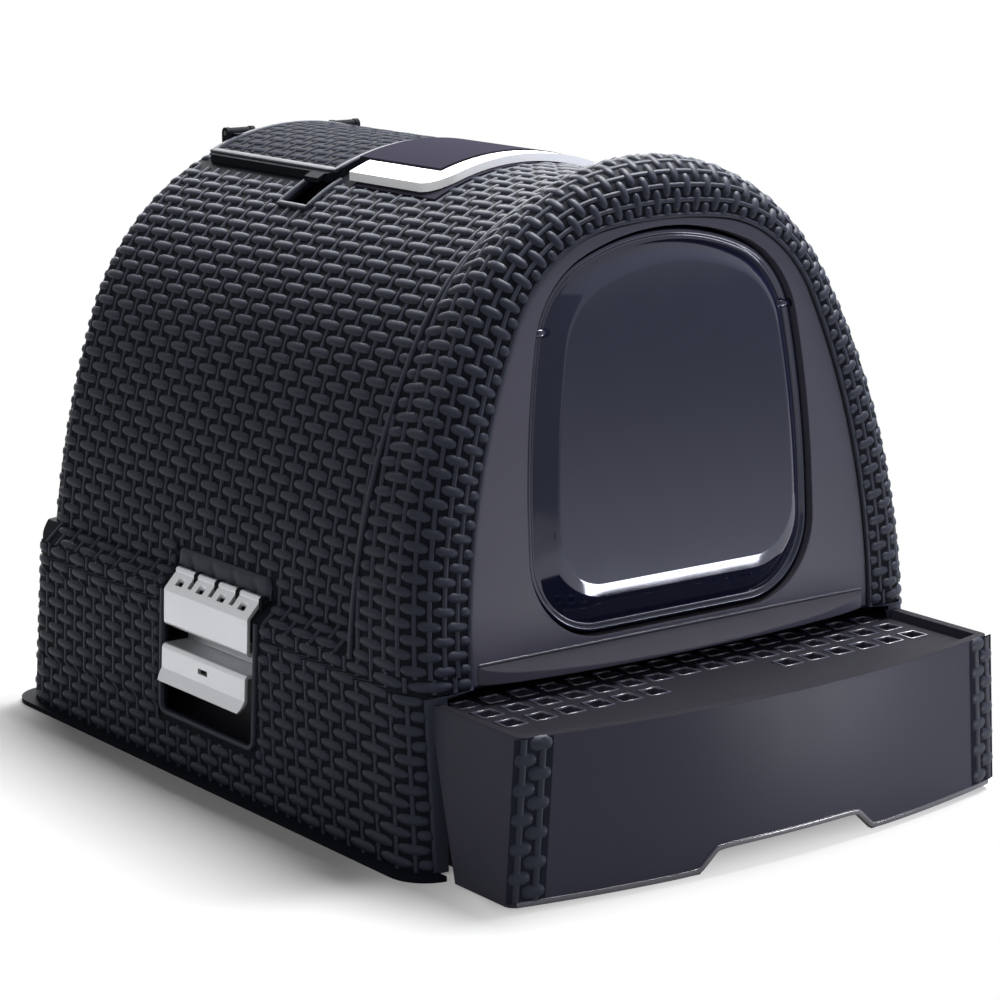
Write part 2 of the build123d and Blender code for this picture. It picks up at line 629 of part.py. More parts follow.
def make_hood_shell():
    right_rows = vault_rows() + skirt_rows()
    left_rows = [mirror(bar, about=Plane.YZ) for bar in right_rows]
    shell = hood_form(0.0, 0.0) + right_rows + left_rows + rear_rows()
    shell -= hood_form(WALL, -WALL)
    shell += floor_flange()
    shell -= block(-MOUTH_HALF, MOUTH_HALF, -FAR, COLLAR_FULL_Y, -PAST, MOUTH_TOP)
    shell -= front_slab(fascia_face(0.0), -CORNER_ROUND, CORNER_ROUND)
    window_y = (LATCH_Y - WINDOW_WIDTH / 2, LATCH_Y + WINDOW_WIDTH / 2)
    shell -= block(-FAR, -TRAY_HALF, *window_y, WINDOW_BOTTOM, WINDOW_TOP)
    shell -= block(TRAY_HALF, FAR, *window_y, WINDOW_BOTTOM, WINDOW_TOP)
    roof = (ROOF_CENTER_Z, ROOF_CENTER_Z + FAR)
    shell -= block(-ROOF_OPEN_HALF, ROOF_OPEN_HALF, ROOF_OPEN_FRONT_Y, ROOF_OPEN_REAR_Y, *roof)
    slot_y = (FINGER_SLOT_FRONT_Y, FINGER_SLOT_REAR_Y)
    shell -= block(-FINGER_SLOT_OUT, -FINGER_SLOT_IN, *slot_y, *roof)
    shell -= block(FINGER_SLOT_IN, FINGER_SLOT_OUT, *slot_y, *roof)
    pin = latch_points()[0]
    for y in knuckle_middles():
        knuckle = latch_knuckle(y)
        shell += knuckle
        shell += mirror(knuckle, about=Plane.YZ)
    bore = LATCH_PIN_RADIUS + PRESSED
    for side in (-1, 1):
        shell -= rod_y(side * pin.X, LATCH_Y - LATCH_WIDTH, LATCH_Y + LATCH_WIDTH, pin.Y, bore)
    for x in ear_places():
        shell += hatch_ear(x)
    shell -= rod_x(-HATCH_HALF, HATCH_HALF, HATCH_HINGE_Y, HATCH_HINGE_Z, HATCH_PIN_RADIUS + PRESSED)
    return shell


def make_front_fascia():
    panel = front_slab(fascia_face(FASCIA_FIT), FASCIA_RECESS, FASCIA_BACK)
    panel += front_slab(fascia_face(-FASCIA_LIP), WALL + SEAT, FASCIA_BACK)
    panel += front_slab(door_face(-DOOR_GAP - DOORWAY_WALL), FASCIA_RECESS, DOORWAY_RETURN)
    sill_y = front_point(SILL_TOP, FASCIA_RECESS)[0]
    lens = Pos(0, sill_y, FASCIA_BOTTOM) * Ellipse(SILL_HALF, SILL_BOW)
    sill = extrude(lens, SILL_TOP - FASCIA_BOTTOM) & block(-FAR, FAR, -FAR, sill_y + WALL, 0, FAR)
    slope = Vector(0, -SILL_FALL, SILL_BOW)
    panel += split(sill, bisect_by=Plane((0, sill_y, SILL_TOP), z_dir=slope), keep=Keep.BOTTOM)
    panel -= front_slab(door_face(-DOOR_GAP), -FAR, FAR)
    y, z = front_point(DOOR_PIVOT, DOOR_AXIS_DEPTH)
    lug = Rectangle(LUG_WIDTH, LUG_HEIGHT)
    for side in (-1, 1):
        panel += front_slab(Pos(side * LUG_X, DOOR_PIVOT) * lug, FASCIA_RECESS + CLEAR, LUG_DEPTH)
    reach = LUG_X + LUG_WIDTH / 2 - PAST
    return panel - rod_x(-reach, reach, y, z, DOOR_PIN_RADIUS + RUNNING)


def bevelled(start, near, inset):
    """Raised middle of the door: a bevel that eases into a low crown round the flat panel."""
    crown_start = DOOR_BEVEL_END - DOOR_CROWN_WIDTH
    crown_lower = DOOR_BEVEL_LOWER - DOOR_CROWN_LOWER
    foot = start * door_face(DOOR_BEVEL_START + inset)
    crown = FRONT.offset(-near - DOOR_CROWN_DROP - inset) * door_face(crown_start + inset, crown_lower)
    panel = FRONT.offset(-near - inset) * door_face(DOOR_BEVEL_END + inset, DOOR_BEVEL_LOWER)
    return loft([foot, crown, panel], ruled=True)


def make_door_flap():
    door = front_slab(door_face(0.0), DOOR_SET_BACK, DOOR_SET_BACK + DOOR_THICK)
    near = DOOR_SET_BACK - DOOR_RAISE
    start = FRONT.offset(-DOOR_SET_BACK - DOOR_THICK / 2)
    back = FRONT.offset(-DOOR_SET_BACK - DOOR_THICK - CLEAR)
    door = door + bevelled(start, near, 0.0) - bevelled(back, near, DOOR_SKIN)
    y, z = front_point(DOOR_PIVOT, DOOR_AXIS_DEPTH)
    deep = DOOR_BARREL_END - DOOR_BARREL_LENGTH
    for side in (-1, 1):
        inner, outer = sorted((side * DOOR_BARREL_END, side * deep))
        door += rod_x(inner, outer, y, z, DOOR_BARREL_RADIUS)
    bore = rod_x(-DOOR_HALF, DOOR_HALF, y, z, DOOR_PIN_RADIUS + PRESSED)
    return door - (bore - rod_x(-deep, deep, y, z, DOOR_BARREL_RADIUS))


def make_door_pin(side):
    y, z = front_point(DOOR_PIVOT, DOOR_AXIS_DEPTH)
    inner = DOOR_BARREL_END - DOOR_BARREL_LENGTH
    outer = LUG_X + LUG_WIDTH / 2 - DOOR_PIN_SHORT
    x0, x1 = sorted((side * inner, side * outer))
    return rod_x(x0, x1, y, z, DOOR_PIN_RADIUS)


def make_litter_tray():
    def plan(z, inset):
        pull = TRAY_DRAFT * (1 - z / TRAY_TOP) + inset
        front = TRAY_FRONT_Y + pull
        rear = TRAY_REAR_Y - pull
        outline = RectangleRounded(2 * (TRAY_HALF - pull), rear - front, TRAY_CORNER - inset)
        return Pos(0, (front + rear) / 2, z) * outline

    above = TRAY_TOP + PAST
    pan = loft([plan(0, 0), plan(TRAY_TOP, 0)], ruled=True)
    rim_rear = TRAY_REAR_Y + RIM_OUT
    rim = RectangleRounded(2 * (TRAY_HALF + RIM_OUT), rim_rear - TRAY_FRONT_Y, TRAY_CORNER)
    rim = extrude(Pos(0, (rim_rear + TRAY_FRONT_Y) / 2, TRAY_TOP - RIM_THICK) * rim, RIM_THICK)
    pan += rim & block(-FAR, FAR, DIVIDER_Y, FAR, 0, FAR)
    hollow = loft([plan(TRAY_FLOOR, TRAY_WALL), plan(above, TRAY_WALL)], ruled=True)
    divider = block(-FAR, FAR, DIVIDER_Y - TRAY_WALL, DIVIDER_Y, 0, GRID_SEAT)
    pan -= hollow - divider
    return pan - block(-FAR, FAR, -FAR, DIVIDER_Y + CLEAR, GRID_SEAT, FAR)


def drawer_form(z0, z1, inset):
    """Body with the drawer front's leaning bow and drafted sides, moved inward by inset."""
    reach = DRAWER_FOOT_HALF + DRAWER_WALL
    corner = DRAWER_FOOT_Y + inset
    bow = ThreePointArc((-reach, corner), (0, corner - DRAWER_BOW), (reach, corner))
    back = Polyline((reach, corner), (reach, DIVIDER_Y), (-reach, DIVIDER_Y), (-reach, corner))
    lean = Vector(0, DRAWER_TOP_Y - DRAWER_FOOT_Y, DRAWER_TOP - DRAWER_BOTTOM)
    foot = Pos(0, 0, DRAWER_BOTTOM) * make_face([bow, back])
    leaning = extrude(foot, 2 * DRAWER_TOP, dir=lean, both=True)
    draft = (DRAWER_FOOT_HALF - DRAWER_TOP_HALF) / (DRAWER_TOP - DRAWER_BOTTOM)
    low = DRAWER_FOOT_HALF - inset - (z0 - DRAWER_BOTTOM) * draft
    high = DRAWER_FOOT_HALF - inset - (z1 - DRAWER_BOTTOM) * draft
    section = make_face(Polyline((-low, z0), (-high, z1), (high, z1), (low, z0), close=True))
    return leaning & extrude(across(DIVIDER_Y) * section, FAR, dir=(0, -1, 0))


def make_drawer_front():
    front = drawer_form(DRAWER_BOTTOM, DRAWER_TOP, 0.0)
    upright = [edge for edge in front.edges() if edge.bounding_box().size.Z > GRID_SEAT]
    corners = [edge for edge in upright if edge.center().Y < TRAY_FRONT_Y]
    front = fillet(corners, DRAWER_ROUND)
    below = GRID_SEAT - GRID_THICK
    front -= drawer_form(DRAWER_BOTTOM - PAST, below, DRAWER_WALL)
    front -= drawer_form(GRID_SEAT, DRAWER_TOP + PAST, DRAWER_RIM)
    shelf_y = TRAY_FRONT_Y - SEAT
    behind = block(-FAR, FAR, shelf_y, FAR, below - PAST, GRID_SEAT)
    front -= behind & drawer_form(below - PAST, GRID_SEAT + PAST, DRAWER_WALL)
    for side in (-1, 1):
        x0 = side * RIB_X - DRAWER_WALL / 2
        rib = block(x0, x0 + DRAWER_WALL, -FAR, shelf_y, DRAWER_BOTTOM + NOTCH_HEIGHT, GRID_SEAT - CLEAR)
        front += rib & drawer_form(DRAWER_BOTTOM, GRID_SEAT, DRAWER_WALL / 2)
    back_slope = Vector(0, DRAWER_TOP - DRAWER_BOTTOM, WING_FOOT_Y - WING_TOP_Y)
    front = split(front, bisect_by=Plane((0, WING_TOP_Y, DRAWER_TOP), z_dir=back_slope), keep=Keep.BOTTOM)
    foot = DRAWER_BOTTOM - PAST
    low = NOTCH_HALF + NOTCH_SPREAD
    high = foot + NOTCH_HEIGHT
    corners = [(-low, foot), (-NOTCH_HALF, high), (NOTCH_HALF, high), (low, foot)]
    notch = across(TRAY_FRONT_Y) * make_face(Polyline(*corners, close=True))
    return front - extrude(notch, FAR, dir=(0, -1, 0))


def make_entry_grid():
    plate = drawer_form(GRID_SEAT, GRID_SEAT + GRID_THICK, DRAWER_RIM + CLEAR)
    front_row_y = GRID_FIRST_Y - GRID_PITCH_Y * (GRID_ROWS - 1)
    middle_y = (GRID_FIRST_Y + front_row_y) / 2
    spots = [
        Pos(0, middle_y, GRID_SEAT + GRID_THICK / 2) * spot
        for spot in GridLocations(GRID_PITCH_X, GRID_PITCH_Y, GRID_COLUMNS, GRID_ROWS)
    ]
    for spot in spots:
        front_row = spot.position.Y < front_row_y + GRID_HOLE_Y
        if not front_row or abs(spot.position.X) > GRID_PLAIN_HALF:
            plate -= spot * Box(GRID_HOLE_X, GRID_HOLE_Y, 2 * GRID_THICK)
    return plate


def make_latch():
    """Right-hand latch: a bent sheet with four hinge tabs, a hooked channel and a finger lip."""
    points = latch_points()
    pin = points[0]
    line = FilletPolyline(*[(p.X, p.Y) for p in points], radius=LATCH_BEND)
    y0 = LATCH_Y - LATCH_WIDTH / 2
    y1 = LATCH_Y + LATCH_WIDTH / 2
    sheet = extrude(across(y0) * trace(line, line_width=LATCH_THICK), LATCH_WIDTH, dir=(0, 1, 0))
    outline_height = 2 * (pin.Y - LATCH_LIP_END + LATCH_THICK)
    outline = RectangleRounded(outline_height, LATCH_WIDTH, LATCH_CORNER)
    sheet &= extrude(Pos(0, LATCH_Y, pin.Y) * Rot(0, 90, 0) * outline, FAR)
    sheet += rod_y(pin.X, y0, y1, pin.Y, LATCH_BARREL_RADIUS)
    bend = points[1]
    slit_x = (pin.X - 2 * LATCH_BARREL_RADIUS, bend.X - LATCH_THICK)
    for y in tab_middles():
        sheet -= block(*slit_x, y - TAB_SLIT / 2, y + TAB_SLIT / 2, bend.Y, FAR)
    pitch = LATCH_WIDTH / LATCH_TABS
    for n in range(LATCH_TABS):
        y = y0 + pitch * (n + 0.5)
        hole_x = (pin.X + bend.X) / 2
        sheet -= Pos(hole_x + LATCH_THICK / 2, y, pin.Y) * Box(TAB_HOLE / 2, TAB_HOLE, LEDGE_RISE * 2)
    middle_z = (points[5].Y + points[6].Y) / 2
    sheet -= Pos(points[6].X, LATCH_Y, middle_z) * Box(LATCH_SLOT_HEIGHT * 2, LATCH_SLOT, LATCH_SLOT_HEIGHT)
    return sheet - rod_y(pin.X, y0 - PAST, y1 + PAST, pin.Y, LATCH_PIN_RADIUS + RUNNING)


def make_latch_pin():
    pin = latch_points()[0]
    reach = LATCH_WIDTH / 2 + CLEAR + KNUCKLE_THICK
    return rod_y(pin.X, LATCH_Y - reach, LATCH_Y + reach, pin.Y, LATCH_PIN_RADIUS)


def make_carry_handle():
    bar = roof_layer(HANDLE_HALF, HANDLE_FRONT_Y, HANDLE_REAR_Y, HANDLE_LOW, HANDLE_HIGH)
    length = HANDLE_REAR_Y - HANDLE_FRONT_Y
    outer = Pos(0, HANDLE_FRONT_Y + length) * RectangleRounded(2 * HANDLE_HALF, 2 * length, HANDLE_CORNER)
    bar &= extrude(outer, FAR)
    bar -= block(-HANDLE_PIVOT_X, HANDLE_PIVOT_X, HANDLE_FRONT_Y + HANDLE_BAR, FAR, 0, FAR)
    reach = HANDLE_PIVOT_X + (HANDLE_PIN_LENGTH - PLATE_GAP) / 2 + CLEAR
    return bar - rod_x(-reach, reach, HANDLE_PIVOT_Y, HANDLE_PIVOT_Z, HANDLE_PIN_RADIUS + RUNNING)


def make_handle_pin(side):
    middle = HANDLE_PIVOT_X - PLATE_GAP / 2
    x0, x1 = sorted((side * (middle - HANDLE_PIN_LENGTH / 2), side * (middle + HANDLE_PIN_LENGTH / 2)))
    return rod_x(x0, x1, HANDLE_PIVOT_Y, HANDLE_PIVOT_Z, HANDLE_PIN_RADIUS)


def make_handle_plate():
    base_rear = HANDLE_PIVOT_Y - PLATE_ARM_ROOM
    plate = roof_layer(PLATE_HALF, PLATE_FRONT_Y, base_rear, SEAT, PLATE_BASE)
    hump_half = HANDLE_PIVOT_X - PLATE_GAP
    hump_front = HANDLE_FRONT_Y + HANDLE_BAR + PLATE_FRONT_GAP
    plate += roof_layer(hump_half, hump_front, PLATE_REAR_Y, SEAT, PLATE_RISE)
    middle = HANDLE_PIVOT_X - PLATE_GAP / 2
    for side in (-1, 1):
        x0, x1 = sorted((side * (middle - HANDLE_PIN_LENGTH / 2), side * (middle + HANDLE_PIN_LENGTH / 2)))
        plate -= rod_x(x0, x1, HANDLE_PIVOT_Y, HANDLE_PIVOT_Z, HANDLE_PIN_RADIUS + PRESSED)
    return plate


def make_hatch_lid():
    length = HATCH_REAR_Y - HATCH_FRONT_Y
    middle = (HATCH_FRONT_Y + HATCH_REAR_Y) / 2
    outline = Pos(0, middle) * RectangleRounded(2 * HATCH_HALF, length, HATCH_CORNER)
    inside = Pos(0, middle) * Rectangle(2 * (HATCH_HALF - HATCH_BORDER), length - 2 * HATCH_BORDER)
    tongue_y = (HATCH_FRONT_Y + HATCH_CORNER + FINGER_SLOT_REAR_Y - CLEAR) / 2
    tongue_length = FINGER_SLOT_REAR_Y - CLEAR - HATCH_FRONT_Y - HATCH_CORNER
    tongues = Pos(0, tongue_y) * Rectangle(2 * TONGUE_OUT, tongue_length)
    skin = roof_layer(FAR, HATCH_FRONT_Y, HATCH_REAR_Y, HATCH_RISE - HATCH_THICK, HATCH_RISE)
    border = roof_layer(FAR, HATCH_FRONT_Y, HATCH_REAR_Y, CLEAR, HATCH_RISE - HATCH_THICK / 2)
    lid = (skin & extrude(outline + tongues, FAR)) + (border & extrude(outline - inside, FAR))
    for side in (-1, 1):
        x0 = side * HATCH_KNUCKLE_X - HATCH_KNUCKLE_WIDTH / 2
        x1 = x0 + HATCH_KNUCKLE_WIDTH
        lid += rod_x(x0, x1, HATCH_HINGE_Y, HATCH_HINGE_Z, HATCH_BARREL_RADIUS)
        low = HATCH_HINGE_Z - HATCH_BARREL_RADIUS + CLEAR
        arm = block(x0, x1, HATCH_REAR_Y - HATCH_BORDER, HATCH_HINGE_Y, low, HATCH_HINGE_Z)
        lid += arm
    bore = HATCH_PIN_RADIUS + RUNNING
    return lid - rod_x(-HATCH_HALF, HATCH_HALF, HATCH_HINGE_Y, HATCH_HINGE_Z, bore)


def make_hatch_pin(side):
    half = HATCH_KNUCKLE_WIDTH / 2 + CLEAR + EAR_THICK
    middle = side * HATCH_KNUCKLE_X
    return rod_x(middle - half, middle + half, HATCH_HINGE_Y, HATCH_HINGE_Z, HATCH_PIN_RADIUS)


def make_filter_basket():
    half = ROOF_OPEN_HALF - BASKET_GAP
    y0 = ROOF_OPEN_FRONT_Y + BASKET_GAP
    y1 = ROOF_OPEN_REAR_Y - BASKET_GAP
    top = HATCH_RISE - HATCH_THICK - CLEAR
    shape = block(-half, half, y0, y1, BASKET_FLOOR_Z, VAULT_CREST + FAR)
    roof = across(y0) * Pos(0, ROOF_CENTER_Z) * Circle(VAULT_RADIUS + top)
    shape &= extrude(roof, y1 - y0, dir=(0, 1, 0))
    grown = ROOF_OPEN_HALF + BASKET_FLANGE
    flange_y = (ROOF_OPEN_FRONT_Y - BASKET_FLANGE, ROOF_OPEN_REAR_Y + BASKET_FLANGE)
    shape += roof_layer(grown, *flange_y, SEAT, top)
    floor_top = BASKET_FLOOR_Z + BASKET_WALL
    inner = half - BASKET_WALL
    shape -= block(-inner, inner, y0 + BASKET_WALL, y1 - BASKET_WALL, floor_top, FAR)
    pitch = 2 * half / (BASKET_SLOTS + 1)
    slot_y = (y0 + PAD_THICK, y1 - PAD_THICK)
    for n in range(BASKET_SLOTS):
        x0 = -half + pitch * (n + 1) - BASKET_SLOT_WIDTH / 2
        x1 = x0 + BASKET_SLOT_WIDTH
        shape -= block(x0, x1, *slot_y, BASKET_FLOOR_Z - PAST, floor_top + PAST)
    return shape


def make_filter_pad():
    half = ROOF_OPEN_HALF - BASKET_GAP - BASKET_WALL - PAD_GAP
    edge = BASKET_GAP + BASKET_WALL + PAD_GAP
    y0 = ROOF_OPEN_FRONT_Y + edge
    y1 = ROOF_OPEN_REAR_Y - edge
    low = BASKET_FLOOR_Z + BASKET_WALL + SEAT
    return block(-half, half, y0, y1, low, low + PAD_THICK)


latch = make_latch()
latch_pin = make_latch_pin()

export_step(make_hood_shell(), "parts/hood_shell.step")
export_step(make_front_fascia(), "parts/front_fascia.step")
export_step(make_door_flap(), "parts/door_flap.step")
export_step(make_litter_tray(), "parts/litter_tray.step")
export_step(make_drawer_front(), "parts/drawer_front.step")
export_step(make_entry_grid(), "parts/entry_grid.step")
export_step(latch, "parts/latch_right.step")
export_step(mirror(latch, about=Plane.YZ), "parts/latch_left.step")
export_step(latch_pin, "parts/latch_pin_right.step")
export_step(mirror(latch_pin, about=Plane.YZ), "parts/latch_pin_left.step")
export_step(make_carry_handle(), "parts/carry_handle.step")
export_step(make_handle_plate(), "parts/handle_plate.step")
export_step(make_hatch_lid(), "parts/hatch_lid.step")
export_step(make_filter_basket(), "parts/filter_basket.step")
export_step(make_filter_pad(), "parts/filter_pad.step")
for side, name in ((-1, "left"), (1, "right")):
    export_step(make_door_pin(side), f"parts/door_pin_{name}.step")
    export_step(make_handle_pin(side), f"parts/handle_pin_{name}.step")
    export_step(make_hatch_pin(side), f"parts/hatch_pin_{name}.step")
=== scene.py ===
"""Looks of a hooded litter box: woven hood, smoked door, drawer and latches on the CAD frame."""

import math

import bpy
import numpy as np
from mathutils import Matrix, Vector


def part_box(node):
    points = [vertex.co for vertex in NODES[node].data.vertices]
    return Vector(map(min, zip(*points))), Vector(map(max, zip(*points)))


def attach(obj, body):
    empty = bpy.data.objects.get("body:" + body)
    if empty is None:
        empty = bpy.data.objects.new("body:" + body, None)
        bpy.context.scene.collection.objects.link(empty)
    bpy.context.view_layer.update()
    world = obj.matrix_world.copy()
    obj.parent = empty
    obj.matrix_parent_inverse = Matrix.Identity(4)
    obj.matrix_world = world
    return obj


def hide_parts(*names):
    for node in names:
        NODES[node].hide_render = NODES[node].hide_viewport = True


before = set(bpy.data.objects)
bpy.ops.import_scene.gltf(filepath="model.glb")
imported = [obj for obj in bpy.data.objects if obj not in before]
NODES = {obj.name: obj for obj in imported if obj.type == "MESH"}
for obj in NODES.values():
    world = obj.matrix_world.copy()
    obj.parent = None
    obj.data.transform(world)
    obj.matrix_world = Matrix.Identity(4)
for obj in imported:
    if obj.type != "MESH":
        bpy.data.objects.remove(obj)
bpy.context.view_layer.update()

bl_info = {
    "name": "Hooded litter box",
    "version": (1, 0, 0),
    "blender": (4, 5, 0),
    "location": "View3D > Sidebar > Litter box",
    "description": "Dresses the CAD frame of a hooded litter box in woven and moulded plastic",
    "category": "Object",
}


def length(name, description, default):
    """A size in metres for the sidebar."""
    return bpy.props.FloatProperty(
        name=name, description=description, default=default, unit="LENGTH", precision=5
    )


def angle(name, description, degrees):
    """An angle for the sidebar."""
    return bpy.props.FloatProperty(
        name=name, description=description, default=math.radians(degrees), subtype="ANGLE"
    )


def colour(name, description, default):
    """A linear colour for the sidebar."""
    return bpy.props.FloatVectorProperty(
        name=name, description=description, default=default,
        subtype="COLOR", size=3, min=0.0, max=1.0,
    )


class HoodSizes(bpy.types.PropertyGroup):
    """Surfaces of the hood that carry the weave."""

    skirt_foot: length("Skirt foot", "Half width of the hood at the floor", 0.1855)
    skirt_top: length("Skirt top", "Half width of the hood at the ledge", 0.181)
    skirt_height: length("Skirt height", "Height of the ledge's outer edge", 0.107)
    flange: length("Flange", "Thickness of the flange on the floor", 0.003)
    ledge_width: length("Ledge width", "How far the ledge runs in", 0.011)
    ledge_rise: length("Ledge rise", "How far the ledge rises", 0.010)
    vault_crest: length("Vault crest", "Height of the roof", 0.354)
    vault_radius: length("Vault radius", "Radius of the roof", 0.151)
    collar_crest: length("Collar crest", "Height of the front collar", 0.368)
    collar_radius: length("Collar radius", "Radius of the collar's top", 0.145)
    collar_step: length("Collar step", "How far the collar's rear edge stands over the roof", 0.003)
    collar_rear: length("Collar rear", "Where the collar starts", -0.106967)
    collar_full: length("Collar full", "Where the collar has its full height", -0.125967)
    front_foot: length("Front foot", "Where the leaning front meets the floor", -0.1757)
    rear_foot: length("Rear foot", "Where the leaning back meets the floor", 0.253)
    round_edge: length("Rounded edge", "Radius of the front and rear edges", 0.020)
    mouth_half: length("Mouth", "Half width of the tray's mouth", 0.172)
    mouth_top: length("Mouth top", "Height of the tray's mouth", 0.098)
    fascia_half: length("Fascia", "Half width of the front panel", 0.1445)
    fascia_crest: length("Fascia crest", "Height of the front panel up the leaning front", 0.337)
    front_lean: angle("Front lean", "Backward lean of the front", 4.0)
    rear_lean: angle("Rear lean", "Forward lean of the back", 2.9)


class DoorSizes(bpy.types.PropertyGroup):
    """Outline and section of the swing door, measured up the leaning front."""

    half: length("Half width", "Half width of the door", 0.101)
    widest: length("Widest", "Height where the sides start to close in", 0.174955)
    bottom: length("Bottom", "Height of the lower edge", 0.115)
    crest: length("Crest", "Height of the upper edge", 0.331)
    crest_radius: length("Crest radius", "Radius of the upper edge", 0.148975)
    shoulder: length("Shoulder", "Radius of the upper corners", 0.057974)
    corner: length("Corner", "Radius of the lower corners", 0.045955)
    set_back: length("Set back", "How far the rim lies behind the front", 0.004)
    thick: length("Thickness", "Thickness of the rim", 0.003)
    skin: length("Skin", "Wall of the raised middle", 0.0024)
    pivot: length("Pivot", "Height of the pivot pins", 0.281999)
    crest_angle: angle("Crest angle", "Half turn of the upper edge", 22.5)


class WeaveSizes(bpy.types.PropertyGroup):
    """Sizes of the woven relief."""

    row: length("Row", "Height of one woven row", 0.00825)
    rib_pitch: length("Rib pitch", "Distance between upright ribs", 0.0117)
    rim_pitch: length("Rim pitch", "Distance between ribs on the front rim", 0.0083)
    corner_pitch: length("Corner pitch", "Widest rib distance at the skirt's front corner", 0.0165)
    pad: length("Pad", "How far a strand stands out", 0.0025)
    pad_rim: length("Rim pad", "How far a strand of the front rim stands out", 0.0024)
    pad_flat: length("Flat pad", "How far a strand of the hatch stands out", 0.0016)
    rib: length("Rib", "How far a rib stands out", 0.0009)
    rib_width: length("Rib width", "Width of a rib", 0.0030)
    sink: length("Sink", "How deep the strands sit in the shell", 0.0006)
    fill: bpy.props.FloatProperty(
        name="Fill", description="Share of a row that its strand fills",
        default=0.78, subtype="FACTOR",
    )


class Finishes(bpy.types.PropertyGroup):
    """Colours of the finishes, linear."""

    woven: colour("Woven plastic", "Strands and hood", (0.0182, 0.0211, 0.0305))
    satin: colour("Satin plastic", "Fascia", (0.040, 0.0385, 0.054))
    drawer: colour("Drawer plastic", "Drawer front and grid", (0.0290, 0.0285, 0.0410))
    smoked: colour("Smoked plastic", "Door flap", (0.005, 0.0062, 0.0175))
    black: colour("Black plastic", "Tray and basket", (0.008, 0.008, 0.010))
    silver: colour("Silver latch", "Side latches", (0.57, 0.58, 0.605))
    pale: colour("Pale handle", "Carry handle", (0.80, 0.80, 0.79))
    felt: colour("Charcoal felt", "Filter pad", (0.012, 0.012, 0.013))


# Sizes shared by several pieces, in metres

SIDES = ((-1, "left"), (1, "right"))
ARC_STEPS = 60  # points on each arc of an outline
VAULT_TILT = math.radians(4.7)  # lean of the vault's walls where they leave the ledge
FASCIA_FOOT = 0.108  # height where the front panel's sides start to close in
FASCIA_SHOULDER = 0.062  # by which the shoulder's radius is less than the half width
FASCIA_CREST = 0.1305  # by which the crest's radius is more than the half width
FASCIA_TURN = math.radians(9.0)  # half turn of the crest
WINDOW_FRONT, WINDOW_REAR, WINDOW_FOOT = -0.0140, 0.0870, 0.0325  # edges of a latch window
WINDOW_ROOM = 0.0025  # kept clear of the weave round a latch window
HATCH_RISE = 0.005  # of the hatch's top over the roof
HATCH_REAR = 0.214
FIRST_RIB = 0.0035  # from the collar to the first rib behind it
ROOF_FROM = 0.25  # height above which a place is on the roof
SIDE_FROM = 0.1  # half width past which a place is on the box's side


# Surfaces


def unit(vectors):
    """The vectors at a length of 1."""
    return vectors / np.linalg.norm(vectors, axis=-1, keepdims=True)


def stacked(x, y, z):
    """Points or directions from their three parts, in the shape of y."""
    return np.stack([np.broadcast_to(part, np.shape(y)) for part in (x, y, z)], axis=-1)


class Outline:
    """A line in the section plane, read by its length, with its outward normal."""

    def __init__(self, points):
        self.points = np.array(points, float)
        steps = np.linalg.norm(np.diff(self.points, axis=0), axis=1)
        self.along = np.concatenate([[0.0], np.cumsum(steps)])
        self.length = self.along[-1]
        tangent = unit(np.gradient(self.points, self.along, axis=0))
        self.normals = np.stack([-tangent[:, 1], tangent[:, 0]], axis=1)

    def at(self, s):
        """Across, height, and the normal's two parts at lengths s."""
        columns = [*self.points.T, *self.normals.T]
        return [np.interp(s, self.along, column) for column in columns]


def arch_points(half, foot, tilt, crest, shoulder, crest_radius=None, crest_angle=0.0):
    """Tangent arcs from the left foot over the crest to the right foot."""
    crest_radius = crest_radius or shoulder
    out = np.array([math.cos(tilt), math.sin(tilt)])
    base = np.array([half, foot])
    crest_middle = np.array([0.0, crest - crest_radius])
    outward = np.array([math.sin(crest_angle), math.cos(crest_angle)])
    middle = crest_middle + (crest_radius - shoulder) * outward
    reach = base - middle
    side = (reach @ reach - shoulder**2) / (2 * (reach @ out - shoulder))
    side_middle = base - out * side
    join = math.atan2(*(middle - side_middle))

    def arc(centre, radius, start, end):
        turn = np.linspace(start, end, ARC_STEPS)[:, None]
        return centre + radius * np.concatenate([np.sin(turn), np.cos(turn)], axis=1)

    right = [
        arc(side_middle, side, math.pi / 2 - tilt, join),
        arc(middle, shoulder, join, crest_angle)[1:],
    ]
    if crest_angle:
        right.append(arc(crest_middle, crest_radius, crest_angle, 0.0)[1:])
    right = np.concatenate(right)
    left = right * np.array([-1.0, 1.0])
    return np.concatenate([left, right[::-1][1:]])


def skirt_slope(hood):
    """Inward lean of the skirt."""
    return math.atan2(hood.skirt_foot - hood.skirt_top, hood.skirt_height)


def skirt_half(hood, z):
    """Half width of the skirt at a height."""
    return hood.skirt_top + (hood.skirt_height - z) * math.tan(skirt_slope(hood))


def front_edge(hood, z):
    """Y of the leaning front at a height."""
    return hood.front_foot + z * math.tan(hood.front_lean)


def back_edge(hood, z):
    """Y of the leaning back at a height."""
    return hood.rear_foot - z * math.tan(hood.rear_lean)


def front_normal(hood):
    """Direction that the leaning front faces."""
    return np.array([0.0, -math.cos(hood.front_lean), math.sin(hood.front_lean)])


def vault_outline(hood):
    """Section of the roof and the upper walls."""
    half = hood.skirt_top - hood.ledge_width
    foot = hood.skirt_height + hood.ledge_rise
    return Outline(arch_points(half, foot, VAULT_TILT, hood.vault_crest, hood.vault_radius))


def collar_outline(hood, crest, radius):
    """Section of the front collar."""
    return Outline(arch_points(hood.skirt_top, hood.skirt_height, skirt_slope(hood), crest, radius))


def collar_back(hood):
    """Section of the collar's rear edge."""
    step = hood.collar_step
    return collar_outline(hood, hood.vault_crest + step, hood.vault_radius + step)


